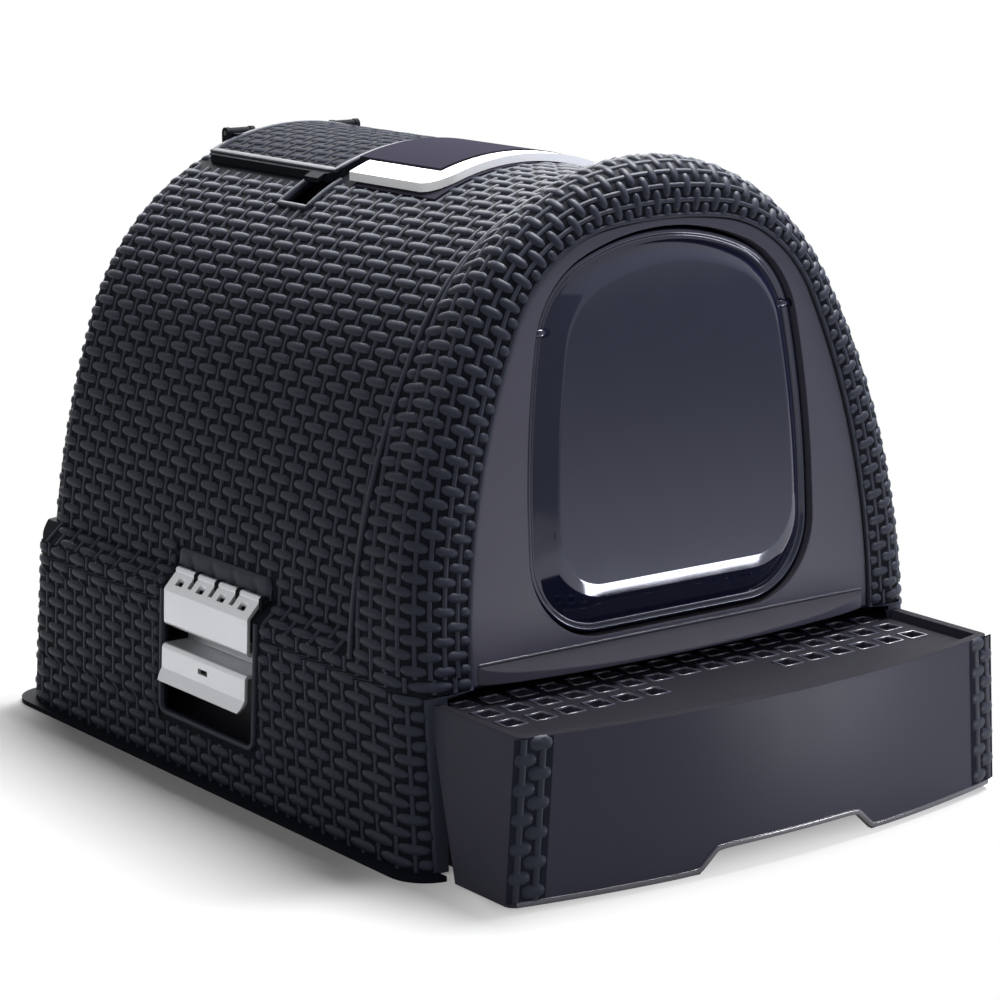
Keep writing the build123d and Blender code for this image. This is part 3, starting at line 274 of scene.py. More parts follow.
def fascia_outline(hood):
    """Edge of the front panel, seen from the front."""
    half = hood.fascia_half
    shoulder, crest_radius = half - FASCIA_SHOULDER, half + FASCIA_CREST
    points = arch_points(
        half, FASCIA_FOOT, 0.0, hood.fascia_crest, shoulder, crest_radius, FASCIA_TURN
    )
    return points * np.array([1.0, math.cos(hood.front_lean)])


class Vault:
    """Roof and upper walls, back round the rear edge; b runs back from the collar."""

    overlap = 1.15  # of the rear edge's radius that the rows run on

    def __init__(self, hood):
        self.hood = hood
        self.line = vault_outline(hood)

    def __call__(self, a, b):
        hood = self.hood
        x, z, across, up = self.line.at(a)
        radius = hood.round_edge
        slant = up * math.tan(hood.rear_lean)
        root = np.sqrt(1 + slant**2)
        start = back_edge(hood, z) + slant * radius - radius * root
        y = hood.collar_rear + b
        turn = np.maximum(0.0, (y - start) / radius)
        inward = radius * (1 - np.cos(turn))
        y = np.where(turn > 0, start + radius * np.sin(turn), y)
        points = stacked(x - inward * across, y, z - inward * up)
        return points, stacked(np.cos(turn) * across, np.sin(turn), np.cos(turn) * up)

    def end(self, a):
        """How far back the row at a runs, with part of the rounded edge."""
        _, z, _, _ = self.line.at(a)
        radius = self.hood.round_edge
        return back_edge(self.hood, z) - radius - self.hood.collar_rear + self.overlap * radius


class Rim:
    """Front rim; b runs from the fascia's edge out over the rounded edge to the collar's rear."""

    def __init__(self, hood):
        self.hood = hood
        self.line = collar_outline(hood, hood.collar_crest, hood.collar_radius)
        self.back = collar_back(hood)
        reach = self.line.points[:, None, :] - fascia_outline(hood)[None, :, :]
        self.inset = np.linalg.norm(reach, axis=2).min(axis=1)

    def parts(self, a):
        """What the path across the rim is made of at a."""
        _, z, _, up = self.line.at(a)
        return wrap(self.hood, z, up, np.interp(a, self.line.along, self.inset))

    def __call__(self, a, b):
        hood = self.hood
        x, z, across, up = self.line.at(a)
        points, normals, over, start = wrapped(hood, x, z, across, up, self.parts(a), b)
        run = hood.collar_full - start
        depth = hood.collar_rear - hood.collar_full
        flare = np.clip((over - run) / depth, 0.0, 1.0)
        bx, bz, _, _ = self.back.at(a * self.back.length / self.line.length)
        late = (over > run)[..., None]
        y = hood.collar_full + np.maximum(0.0, over - run)
        flared = stacked(x + (bx - x) * flare, y, z + (bz - z) * flare)
        drop = ((x - bx) * across + (z - bz) * up) / depth
        tipped = unit(stacked(across, drop, up))
        return np.where(late, flared, points), np.where(late, tipped, normals)

    def end(self, a):
        """Length of the path across the rim at a."""
        face, arc, start, _, _ = self.parts(a)
        return face + arc + self.hood.collar_rear - start


def wrap(hood, z, up, inset):
    """Length on the face, length round the edge, where the straight run starts, lean and turn."""
    radius = hood.round_edge
    lean = up * math.tan(hood.front_lean)
    root = np.sqrt(1 + lean**2)
    start = front_edge(hood, z) - lean * radius + radius * root
    whole = np.arccos(lean / root)
    touch = radius * (1 - lean / root)
    face = np.maximum(0.0, inset - touch) * root
    turn = np.where(inset < touch, np.arccos(np.clip(1 - inset / radius, -1, 1)), whole)
    return face, radius * turn, start, lean, turn


def wrapped(hood, x, z, across, up, parts, b):
    """Points and normals on the face and the rounded edge, and how far b runs past it."""
    face, arc, start, lean, turn = parts
    radius = hood.round_edge
    root = np.sqrt(1 + lean**2)
    touch = radius * (1 - lean / root)
    on_face = b < face
    deep = touch + (face - b) / root
    bend = turn - np.clip((b - face) / radius, 0.0, turn)
    over = b - face - arc
    inward = np.where(on_face, deep, radius * (1 - np.cos(bend)))
    past_face = start - radius * np.sin(bend) + np.maximum(0.0, over)
    y = np.where(on_face, front_edge(hood, z) - lean * deep, past_face)
    points = stacked(x - inward * across, y, z - inward * up)
    normals = stacked(np.cos(bend) * across, -np.sin(bend), np.cos(bend) * up)
    normals = np.where(on_face[..., None], front_normal(hood), normals)
    return points, normals, over, start


class Skirt:
    """One side of the skirt, from the mouth's edge round the rear corner to the back's middle."""

    def __init__(self, hood, side):
        self.hood = hood
        self.side = side
        self.slope = skirt_slope(hood)

    def parts(self, z):
        """Half width at a height, and what the path along the side is made of."""
        hood = self.hood
        half = skirt_half(hood, z)
        inner = np.where(z < hood.mouth_top, hood.mouth_half, hood.fascia_half)
        return half, wrap(hood, z, math.sin(self.slope), half - inner)

    def __call__(self, a, b):
        hood = self.hood
        half, parts = self.parts(a)
        across, up = math.cos(self.slope) + 0 * a, math.sin(self.slope) + 0 * a
        points, normals, over, start = wrapped(hood, half, a, across, up, parts, b)
        radius = hood.round_edge
        back = back_edge(hood, a)
        run = back - radius - start
        turn = np.clip((over - run) / radius, 0.0, math.pi / 2)
        rest = np.maximum(0.0, over - run - radius * math.pi / 2)
        late = (over > run)[..., None]
        x = half - radius * (1 - np.cos(turn)) - rest
        points = np.where(late, stacked(x, back - radius + radius * np.sin(turn), a), points)
        outward = stacked(np.cos(turn) * across, np.sin(turn), np.cos(turn) * up)
        normals = np.where(late, outward, normals)
        flip = np.array([self.side, 1.0, 1.0])
        return points * flip, normals * flip

    def end(self, a):
        """Length of the path along the side at height a."""
        half, (face, arc, start, _, _) = self.parts(a)
        radius = self.hood.round_edge
        back = back_edge(self.hood, a)
        return face + arc + back - radius - start + radius * math.pi / 2 + half - radius


class Ledge:
    """Sloping ledge on one side; b runs back from the collar."""

    def __init__(self, hood, side):
        self.hood = hood
        self.side = side
        self.width = math.hypot(hood.ledge_width, hood.ledge_rise)

    def __call__(self, a, b):
        hood, side, width = self.hood, self.side, self.width
        share = a / width
        x = hood.skirt_top - share * hood.ledge_width
        z = hood.skirt_height + share * hood.ledge_rise
        points = stacked(side * x, hood.collar_rear + b, z)
        return points, stacked(side * hood.ledge_rise / width, 0 * b, hood.ledge_width / width)


class Back:
    """Leaning back above the ledge; a is the height and b runs across."""

    clear = 0.012  # kept free of weave along the vault's edge

    def __init__(self, hood):
        self.hood = hood
        self.line = vault_outline(hood)

    def __call__(self, a, b):
        lean = self.hood.rear_lean
        points = stacked(b, back_edge(self.hood, a), a)
        return points, stacked(0 * b, math.cos(lean) + 0 * b, math.sin(lean) + 0 * b)

    def outside(self, a, b):
        """True near the vault's edge and past it."""
        x, z = self.line.points.T
        left = len(x) // 2
        heights, places = np.ravel(a), np.ravel(b)
        near = np.hypot(places[:, None] - x, heights[:, None] - z).min(axis=1)
        width = np.interp(heights, z[:left], -x[:left])
        return ((near < self.clear) | (np.abs(places) > width)).reshape(np.shape(b))


class RoofLayer:
    """Cylinder over the roof; a is the length round it from the crest, b is Y."""

    def __init__(self, hood, rise):
        self.radius = hood.vault_radius + rise
        self.middle = hood.vault_crest - hood.vault_radius

    def __call__(self, a, b):
        turn = a / self.radius
        points = stacked(self.radius * np.sin(turn), b, self.middle + self.radius * np.cos(turn))
        return points, stacked(np.sin(turn), 0 * b, np.cos(turn))

    def over(self, path):
        """Points and normals over a path of places (x, y)."""
        x, y = np.array(path).T
        return self(self.radius * np.arcsin(x / self.radius), y)


class DrawerFace:
    """Bowed, leaning front of the drawer; a is the height, b runs from corner to corner."""

    def __init__(self):
        self.foot, self.top = 0.003, 0.093
        self.half = 0.1785
        self.bow = 0.022
        self.front = -0.2412 - self.bow
        self.lean = 0.002 / (self.top - self.foot)
        self.radius = (self.half**2 + self.bow**2) / (2 * self.bow)

    def __call__(self, a, b):
        drop = self.radius - np.sqrt(self.radius**2 - b**2)
        points = stacked(b, self.front + drop + (a - self.foot) * self.lean, a)
        slope = b / np.sqrt(self.radius**2 - b**2)
        return points, unit(stacked(slope, -1.0 + 0 * b, self.lean + 0 * b))


# Meshes


def mesh_piece(name, points, quads, material, body, slot):
    """Mesh object of quads that rides on a body."""
    mesh = bpy.data.meshes.new(name)
    points = np.asarray(points, np.float32).reshape(-1, 3)
    quads = np.asarray(quads, np.int32).reshape(-1, 4)
    mesh.vertices.add(len(points))
    mesh.vertices.foreach_set("co", points.ravel())
    mesh.loops.add(quads.size)
    mesh.loops.foreach_set("vertex_index", quads.ravel())
    mesh.polygons.add(len(quads))
    mesh.polygons.foreach_set("loop_start", np.arange(0, quads.size, 4, dtype=np.int32))
    mesh.polygons.foreach_set("use_smooth", np.ones(len(quads), bool))
    mesh.update(calc_edges=True)
    mesh.validate()
    mesh.materials.append(material)
    piece = bpy.data.objects.new(name, mesh)
    bpy.context.scene.collection.objects.link(piece)
    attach(piece, body)
    return piece


def grid_quads(rows, columns):
    """Corners of the quads of one grid of points."""
    first = (np.arange(rows - 1)[:, None] * columns + np.arange(columns - 1)).ravel()
    return np.stack([first, first + columns, first + columns + 1, first + 1], axis=1)


def ring_quads(rings, columns):
    """Corners of the quads between closed rings of points."""
    ring = np.arange(rings - 1)[:, None] * columns
    first = (ring + np.arange(columns)).ravel()
    after = (ring + (np.arange(columns) + 1) % columns).ravel()
    return np.stack([first, after, after + columns, first + columns], axis=1)


def turned_over(quads, wanted=True):
    """Quads that face the other way where that is wanted."""
    return quads[:, ::-1] if wanted else quads


def walked(corners, steps):
    """Places on straight runs from corner to corner, without the last corner."""
    corners = np.array(corners)
    shares = np.linspace(0.0, 1.0, steps)[:-1, None]
    return np.concatenate([p + (q - p) * shares for p, q in zip(corners, corners[1:])])


def longest_run(open_places):
    """First and last index of the longest run of True."""
    best, start = (0, -1), None
    for n, free in enumerate([*open_places, False]):
        if free and start is None:
            start = n
        elif not free and start is not None:
            if n - 1 - start > best[1] - best[0]:
                best = (start, n - 1)
            start = None
    return best


class Weave:
    """Collects strands and ribs on surfaces, then makes one mesh of them all."""

    along = np.array([-1.0, -0.96, -0.84, -0.5, 0.0, 0.5, 0.84, 0.96, 1.0])
    across = np.array([-1.0, -0.8, -0.35, 0.35, 0.8, 1.0])
    rib_section = np.array([-0.5, -0.32, 0.32, 0.5])
    tries = 25  # places tested along a strand
    edge = 0.36  # of a row, from its middle to the tested edges
    shortest = 0.0042  # strand that is still made
    rib_gap = 0.0001  # between a strand's end and the rib that it dives under

    def __init__(self, sizes):
        self.sizes = sizes
        self.points = []
        self.quads = []
        self.count = 0

    def add(self, points, quads, flip):
        """Keeps one patch of points and quads."""
        self.points.append(points.reshape(-1, 3))
        self.quads.append(turned_over(quads, flip) + self.count)
        self.count += self.points[-1].shape[0]

    def strands(self, surface, row, places, lift, flip=False):
        """One pad for each (a, start, end), standing on the surface."""
        if not len(places):
            return
        a, start, end = np.array(places, float).T
        u, v = self.along, self.across
        middle = ((start + end) / 2)[:, None, None]
        half = ((end - start) / 2)[:, None, None]
        b = np.broadcast_to(middle + half * u[None, :, None], (len(a), len(u), len(v)))
        narrowed = np.sqrt(np.maximum(1 - np.abs(u) ** 4.0, 0.12))
        height = 0.5 * row * self.sizes.fill * narrowed
        aa = a[:, None, None] + height[None, :, None] * v[None, None, :]
        domed = np.sqrt(1 - 0.995 * v**2)
        diving = 1 - 0.2 * u**2 - 0.55 * u**10
        crown = domed[None, None, :] * diving[None, :, None]
        points, normals = surface(aa, b)
        points = points + normals * (lift * crown - self.sizes.sink)[..., None]
        one = grid_quads(len(u), len(v))
        offsets = np.arange(len(a))[:, None, None] * (len(u) * len(v))
        self.add(points, (one[None] + offsets).reshape(-1, 4), flip)

    def rib(self, surface, a, b, free, lift, width, flip=False):
        """Upright rib along a at the places b, left out where it isn't free."""
        parts = self.rib_section * width
        lifts = np.array([-self.sizes.sink, lift, lift, -self.sizes.sink])
        aa = np.broadcast_to(a[:, None], (len(a), len(parts)))
        points, normals = surface(aa, b[:, None] + parts[None, :])
        points = points + normals * lifts[None, :, None]
        quads = grid_quads(len(a), len(parts)).reshape(len(a) - 1, len(parts) - 1, 4)
        keep = free[:-1] & free[1:]
        if keep.any():
            self.add(points, quads[keep].reshape(-1, 4), not flip)

    def cloth(self, surface, rows, row, ribs, blocked, lift, flip=False, ends=False, rib_lift=None):
        """Plain weave: rows pass over every second rib. ribs(a) gives the ribs' places at a."""
        gap = 0.5 * self.sizes.rib_width + self.rib_gap
        skipped = 0 if ends else 1
        places = []
        for n, a in enumerate(rows):
            lines = ribs(a)
            for k in range(skipped, len(lines) - skipped):
                if (k + n) % 2:
                    continue
                low = lines[k - 1] + gap if k > 0 else lines[0]
                high = lines[k + 1] - gap if k + 1 < len(lines) else lines[-1]
                tries = np.linspace(low, high, self.tries)
                free = np.ones(self.tries, bool)
                for share in (0.0, self.edge, -self.edge):
                    free &= ~blocked(np.full(self.tries, a + share * row), tries)
                first, last = longest_run(free)
                if last > first and tries[last] - tries[first] > self.shortest:
                    places.append((a, tries[first], tries[last]))
        self.strands(surface, row, places, lift, flip)
        steps = np.arange(rows[0] - row / 2, rows[-1] + row / 2 + 0.001, row / 3)
        lines = [ribs(a) for a in steps]
        rib_lift, width = rib_lift or self.sizes.rib, self.sizes.rib_width
        for k in range(max(len(line) for line in lines)):
            b = np.array([line[k] if k < len(line) else line[-1] for line in lines])
            free = np.array([k < len(line) for line in lines]) & ~blocked(steps, b)
            self.rib(surface, steps, b, free, rib_lift, width, flip)

    def make(self, name, material, body, slot):
        """The mesh object of all that was collected."""
        points, quads = np.concatenate(self.points), np.concatenate(self.quads)
        return mesh_piece(name, points, quads, material, body, slot)


def sweep(path, normals, profile, closed=False):
    """Points and quads of a profile (out, up) swept along a path with given up directions."""
    path = np.asarray(path, float)
    normals = np.asarray(normals, float)
    ahead = np.roll(path, -1, 0) - np.roll(path, 1, 0)
    if not closed:
        ahead[0], ahead[-1] = path[1] - path[0], path[-1] - path[-2]
    sideways = unit(np.cross(unit(ahead), normals))
    profile = np.asarray(profile, float)
    out, up = profile[None, :, :1], profile[None, :, 1:]
    points = path[:, None, :] + sideways[:, None, :] * out + normals[:, None, :] * up
    quads = grid_quads(len(path), len(profile))
    if closed:
        last = (len(path) - 1) * len(profile) + np.arange(len(profile) - 1)
        first = np.arange(len(profile) - 1)
        quads = np.concatenate([quads, np.stack([last, first, first + 1, last + 1], axis=1)])
    return points.reshape(-1, 3), quads


def bead(width, height, sink=0.0006):
    """Rounded strip profile that stands on a surface."""
    turn = np.linspace(0.0, math.pi, 9)
    squareness = 0.55
    across = 0.5 * width * np.sign(np.cos(turn)) * np.abs(np.cos(turn)) ** squareness
    up = height * np.abs(np.sin(turn)) ** squareness
    return np.stack([across, np.where(up < 1e-6, -sink, up)], axis=1)


# Finishes


class Wire:
    """A shader socket that Python's own operators work on."""

    def __init__(self, tree, socket=None):
        self.tree = tree
        self.socket = socket

    def node(self, kind, settings=(), values=(), out=0):
        """Adds a node, sets it up, then fills its sockets with numbers, colours or wires."""
        made = self.tree.nodes.new(kind)
        for key, value in dict(settings).items():
            setattr(made, key, value)
        for key, value in dict(values).items():
            if isinstance(value, Wire):
                self.tree.links.new(value.socket, made.inputs[key])
            else:
                made.inputs[key].default_value = value
        return Wire(self.tree, made.outputs[out])

    def maths(self, operation, first, second):
        return self.node("ShaderNodeMath", {"operation": operation}, {0: first, 1: second})

    def __add__(self, other):
        return self.maths("ADD", self, other)

    def __radd__(self, other):
        return self.maths("ADD", other, self)

    def __sub__(self, other):
        return self.maths("SUBTRACT", self, other)

    def __rsub__(self, other):
        return self.maths("SUBTRACT", other, self)

    def __mul__(self, other):
        return self.maths("MULTIPLY", self, other)

    def __rmul__(self, other):
        return self.maths("MULTIPLY", other, self)


def scaled(base, share):
    """A share of a colour."""
    return [share * part for part in base]


class Finish:
    """A material with one Principled shader, and wires into it."""

    def __init__(self, name, **constants):
        self.material = bpy.data.materials.new(name)
        self.material.use_nodes = True
        self.tree = self.material.node_tree
        self.shader = next(n for n in self.tree.nodes if n.type == "BSDF_PRINCIPLED")
        for key, value in constants.items():
            self.shader.inputs[key.replace("_", " ")].default_value = value
        self.place = Wire(self.tree).node("ShaderNodeTexCoord", out="Object")

    def feed(self, **wires):
        """Links wires to the shader's sockets."""
        for key, wire in wires.items():
            self.tree.links.new(wire.socket, self.shader.inputs[key.replace("_", " ")])

    def noise(self, scale, detail=2.0):
        """Noise over the object's own space."""
        values = {"Vector": self.place, "Scale": scale, "Detail": detail}
        return self.place.node("ShaderNodeTexNoise", {}, values)

    def blended(self, mask, low, high):
        """Colour that goes from low to high with the mask; 6, 7 and 2 are Mix's colour sockets."""
        values = {"Factor": mask, 6: low, 7: high}
        return self.place.node("ShaderNodeMix", {"data_type": "RGBA"}, values, out=2)

    def tinted(self, base, amount, mask):
        """Base colour, lighter and darker by a share of itself where the mask is high and low."""
        dark = [*scaled(base, 1 - amount), 1.0]
        light = [*scaled(base, 1 + amount), 1.0]
        return self.blended(mask, dark, light)

    def bump(self, height, strength, depth, edge=0.0):
        """Normal of a relief, with edges rounded by a radius."""
        values = {"Strength": strength, "Distance": depth, "Height": height}
        if edge:
            values["Normal"] = self.place.node("ShaderNodeBevel", {"samples": 4}, {"Radius": edge})
        return self.place.node("ShaderNodeBump", {}, values)


CLOUDS, SMEARS, GRAINS = 14.0, 45.0, 900.0  # noise scales of the tint, the gloss and the relief
GRAIN_DEPTH = 0.0004
SMEAR = 0.1  # spread of the roughness
TOP_SHADE_FACE = (0.3, 0.7)  # upward part of the normal where the painted shade of an upper face starts and is full
UPPER_ROUGH = 0.4  # by which an upper face is rougher


def moulded(name, base, rough, grain, shine=0.5, edge=0.0, tint=0.1, top_shade=0.0, **constants):
    """Plastic with a cloudy tint, uneven gloss, fine grain, soft edges, and painted shade that
    darkens upper faces.
    """
    finish = Finish(name, Specular_IOR_Level=shine, **constants)
    tone = finish.tinted(base, tint, finish.noise(CLOUDS, 3.0))
    gloss = rough - SMEAR / 2 + SMEAR * finish.noise(SMEARS)
    if top_shade:
        # painted shade: faces that point up get a colour darker by this share, and they are made
        # rougher
        facing = tone.node("ShaderNodeTexCoord", out="Normal")
        height = tone.node("ShaderNodeSeparateXYZ", {}, {0: facing}, out="Z")
        limits = {"Value": height, "From Min": TOP_SHADE_FACE[0], "From Max": TOP_SHADE_FACE[1]}
        share = tone.node("ShaderNodeMapRange", {}, limits)
        tone = finish.blended(share, tone, [*scaled(base, 1 - top_shade), 1.0])
        gloss = gloss + UPPER_ROUGH * share
    relief = finish.bump(finish.noise(GRAINS), grain, GRAIN_DEPTH, edge)
    finish.feed(Base_Color=tone, Roughness=gloss, Normal=relief)
    return finish.material


def material(name):
    """A finish by its name."""
    return bpy.data.materials[name]


class LITTERBOX_OT_finishes(bpy.types.Operator):
    """Make the finishes and put them on the CAD pieces"""

    bl_idname = "litterbox.finishes"
    bl_label = "Finishes"

    cool = (0.81, 0.84, 1.0, 1.0)  # tint of the smoked door's reflections

    def execute(self, context):
        tones = context.scene.litter_box_finishes
        woven, satin, drawer = tones.woven, tones.satin, tones.drawer
        moulded("woven_plastic", woven, 0.48, 0.10, shine=0.10, tint=0.16)
        # hood shell and hatch lid, seen between the strands: the woven colour at about a quarter,
        # painted shade for the recesses
        moulded("shaded_hood_plastic", scaled(woven, 0.24), 0.60, 0.12, shine=0.03, tint=0.12)
        # hatch weave and the grounds behind the drawer's strips: a darker copy of the woven colour,
        # painted shade
        moulded("shaded_weave_plastic", scaled(woven, 0.6), 0.65, 0.10, shine=0.02, tint=0.16)
        moulded("smooth_trim", scaled(woven, 0.9), 0.48, 0.08, shine=0.15, tint=0.08)
        # painted shade darkens the upper faces of the fascia, the drawer front and the grid
        moulded("satin_plastic", satin, 0.44, 0.10, 0.17, edge=0.0012, tint=0.05, top_shade=0.6)
        moulded("drawer_plastic", drawer, 0.42, 0.10, 0.06, edge=0.0012, tint=0.05, top_shade=0.8)
        moulded("polished_lip", drawer, 0.22, 0.02, shine=0.8, tint=0.05)
        moulded("roof_plate", scaled(satin, 0.5), 0.40, 0.03, 0.0, edge=0.0012, tint=0.05)
        cool = {"Specular_Tint": self.cool}
        moulded("smoked_plastic", tones.smoked, 0.08, 0.005, shine=0.73, tint=0.06, **cool)
        moulded("black_pan", tones.black, 0.38, 0.08, edge=0.0010)
        moulded("latch_silver", tones.silver, 0.34, 0.05, edge=0.0008, tint=0.03, Metallic=0.7)
        moulded("pale_handle", tones.pale, 0.30, 0.03, edge=0.0015, tint=0.02)
        moulded("pin_plastic", tones.black, 0.42, 0.05)
        felt = Finish("charcoal_felt", Roughness=0.95, Sheen_Weight=0.25)
        fibre = felt.noise(520.0, 6.0)
        tone, relief = felt.tinted(tones.felt, 0.5, fibre), felt.bump(fibre, 0.8, 0.001)
        felt.feed(Base_Color=tone, Normal=relief)
        worn = {
            "shaded_hood_plastic": ["hood_shell", "hatch_lid"],
            "satin_plastic": ["front_fascia"],
            "drawer_plastic": ["drawer_front", "entry_grid"],
            "roof_plate": ["handle_plate"],
            "smoked_plastic": ["door_flap"],
            "black_pan": ["litter_tray", "filter_basket"],
            "latch_silver": ["latch_left", "latch_right"],
            "pale_handle": ["carry_handle"],
            "pin_plastic": [name for name in NODES if "_pin_" in name],
        }
        for finish, names in worn.items():
            for name in names:
                slots = NODES[name].data.materials
                slots.clear()
                slots.append(material(finish))
        return {"FINISHED"}


# Pieces


def roof_blocked(points):
    """Where the plate, the hatch, its ears and the finger slots stand on the roof."""
    x, y, z = np.abs(points[..., 0]), points[..., 1], points[..., 2]
    roof = z > ROOF_FROM
    plate = (x < 0.0656) & (y > -0.0285) & (y < 0.0730)
    hatch = (x < 0.0698) & (y > 0.0710) & (y < 0.2160)
    slot = (x > 0.0605) & (x < 0.0905) & (y > 0.0672) & (y < 0.0992)
    ears = (x > 0.0285) & (x < 0.0515) & (y > 0.2100) & (y < 0.2245)
    return roof & (plate | hatch | slot | ears)


def window_blocked(points):
    """Where a latch, its window and their frame stand on the skirt and ledge."""
    x, y, z = np.abs(points[..., 0]), points[..., 1], points[..., 2]
    beside = (y > WINDOW_FRONT - WINDOW_ROOM) & (y < WINDOW_REAR + WINDOW_ROOM)
    return beside & (z > WINDOW_FOOT - WINDOW_ROOM) & (x > SIDE_FROM)


def even_lines(start, end, pitch):
    """Places from start to end, about one pitch apart."""
    count = max(2, int(round((end - start) / pitch)) + 1)
    return np.linspace(start, end, count)


def even_rows(start, end, row):
    """Middles of the rows that fill a range."""
    count = int(round((end - start) / row))
    return start + (np.arange(count) + 0.5) * (end - start) / count


class LITTERBOX_OT_hood_weave(bpy.types.Operator):
    """Weave the hood: vault, front rim, skirt, ledges and back"""

    bl_idname = "litterbox.hood_weave"
    bl_label = "Hood weave"

    stop_top = 0.1305  # height of the plates above the latches
    rim_face = (0.0012, 0.0344)  # first and last rib on the rim's face
    rim_turn = 0.0105  # from there to the first rib behind the edge
    rim_end = 0.130
    rim_margin = 0.0022
    skirt_start = 0.0012
    ledge_end = 0.334
    back_half = 0.164

    def execute(self, context):
        hood = context.scene.litter_box_hood
        sizes = context.scene.litter_box_weave
        steps = {"vault": self.vault, "rim": self.rim, "skirt": self.skirt, "back": self.back}
        for name, step in steps.items():
            weave = Weave(sizes)
            step(weave, hood, sizes)
            weave.make(f"{name}_weave", material("woven_plastic"), "hood", "rattan")
        return {"FINISHED"}

    def vault(self, weave, hood, sizes):
        surface = Vault(hood)
        rows = even_rows(0.0, surface.line.length, sizes.row)
        longest = surface.end(np.array([0.0]))[0]
        lines = even_lines(FIRST_RIB, longest, sizes.rib_pitch)

        def blocked(a, b):
            points, _ = surface(a, b)
            low = (points[..., 2] < self.stop_top) & window_blocked(points)
            return roof_blocked(points) | low | (b > surface.end(a))

        weave.cloth(
            surface, rows, sizes.row, lambda a: lines, blocked, sizes.pad, flip=True, ends=True
        )

    def rim(self, weave, hood, sizes):
        surface = Rim(hood)
        rows = even_rows(0.0, surface.line.length, sizes.row)
        face = even_lines(*self.rim_face, sizes.rim_pitch)
        side = even_lines(face[-1] + self.rim_turn, self.rim_end, sizes.rib_pitch)
        lines = np.concatenate([face, side])

        def blocked(a, b):
            return b > surface.end(a) - self.rim_margin

        weave.cloth(
            surface, rows, sizes.row, lambda a: lines, blocked, sizes.pad_rim, flip=True, ends=True
        )

    def skirt(self, weave, hood, sizes):
        rows = even_rows(hood.flange, hood.skirt_height, sizes.row)
        pitches = [0.0105, 0.0125, sizes.corner_pitch, 0.0150, 0.0138, 0.0128, 0.0122]
        first = np.concatenate([[self.skirt_start], self.skirt_start + np.cumsum(pitches)])
        ledge_lines = even_lines(FIRST_RIB, self.ledge_end, sizes.rib_pitch)
        for side, _ in SIDES:
            surface, ledge = Skirt(hood, side), Ledge(hood, side)

            def lines(a):
                end = surface.end(np.array(a))
                rest = even_lines(first[-1] + sizes.rib_pitch, end, sizes.rib_pitch)
                return np.concatenate([first, rest])

            def blocked(a, b):
                points, _ = surface(a, b)
                return window_blocked(points) | (b > surface.end(a))

            def ledge_blocked(a, b):
                points, _ = ledge(a, b)
                return window_blocked(points)

            weave.cloth(
                surface, rows, sizes.row, lines, blocked, sizes.pad, flip=side > 0, ends=True
            )
            row = ledge.width / 2
            steps = even_rows(0.0, ledge.width, row)
            weave.cloth(
                ledge, steps, row, lambda a: ledge_lines, ledge_blocked, sizes.pad, flip=side > 0
            )

    def back(self, weave, hood, sizes):
        surface = Back(hood)
        rows = even_rows(hood.skirt_height, hood.vault_crest - hood.round_edge, sizes.row)
        lines = even_lines(-self.back_half, self.back_half, sizes.rib_pitch)
        weave.cloth(
            surface, rows, sizes.row, lambda a: lines, surface.outside, sizes.pad, flip=True
        )


class LITTERBOX_OT_hatch_weave(bpy.types.Operator):
    """Weave the hatch with a flatter relief inside its smooth border"""

    bl_idname = "litterbox.hatch_weave"
    bl_label = "Hatch weave"

    woven_half = 0.0605
    margin = 0.0065  # from the hatch's ends to the weave
    rib_lift = 0.0007
    border_half, border_inset, border_rear = 0.0640, 0.0024, 0.2112

    def execute(self, context):
        hood = context.scene.litter_box_hood
        sizes = context.scene.litter_box_weave
        low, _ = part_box("hatch_lid")
        weave = Weave(sizes)
        surface = RoofLayer(hood, HATCH_RISE)
        reach = surface.radius * math.asin(self.woven_half / surface.radius)
        rows = even_rows(-reach, reach, sizes.row)
        lines = even_lines(low.y + self.margin, HATCH_REAR - self.margin, sizes.rib_pitch)

        def blocked(a, b):
            return np.zeros(np.shape(b), bool)

        weave.cloth(
            surface, rows, sizes.row, lambda a: lines, blocked, sizes.pad_flat,
            flip=True, ends=True, rib_lift=self.rib_lift,
        )
        # painted shade: the hatch's strands use the darker copy of the woven plastic
        weave.make("hatch_weave", material("shaded_weave_plastic"), "hatch", "rattan")
        self.border(surface, low.y)
        return {"FINISHED"}

    def border(self, surface, front):
        """Rounded smooth border along the hatch's edges."""
        half, near, far = self.border_half, front + self.border_inset, self.border_rear
        corners = [(-half, near), (half, near), (half, far), (-half, far), (-half, near)]
        points, normals = surface.over(walked(corners, 24))
        points, quads = sweep(points, normals, bead(width=0.0044, height=0.0012), closed=True)
        trim = material("smooth_trim")
        mesh_piece("hatch_border", points, turned_over(quads), trim, "hatch", "rattan")


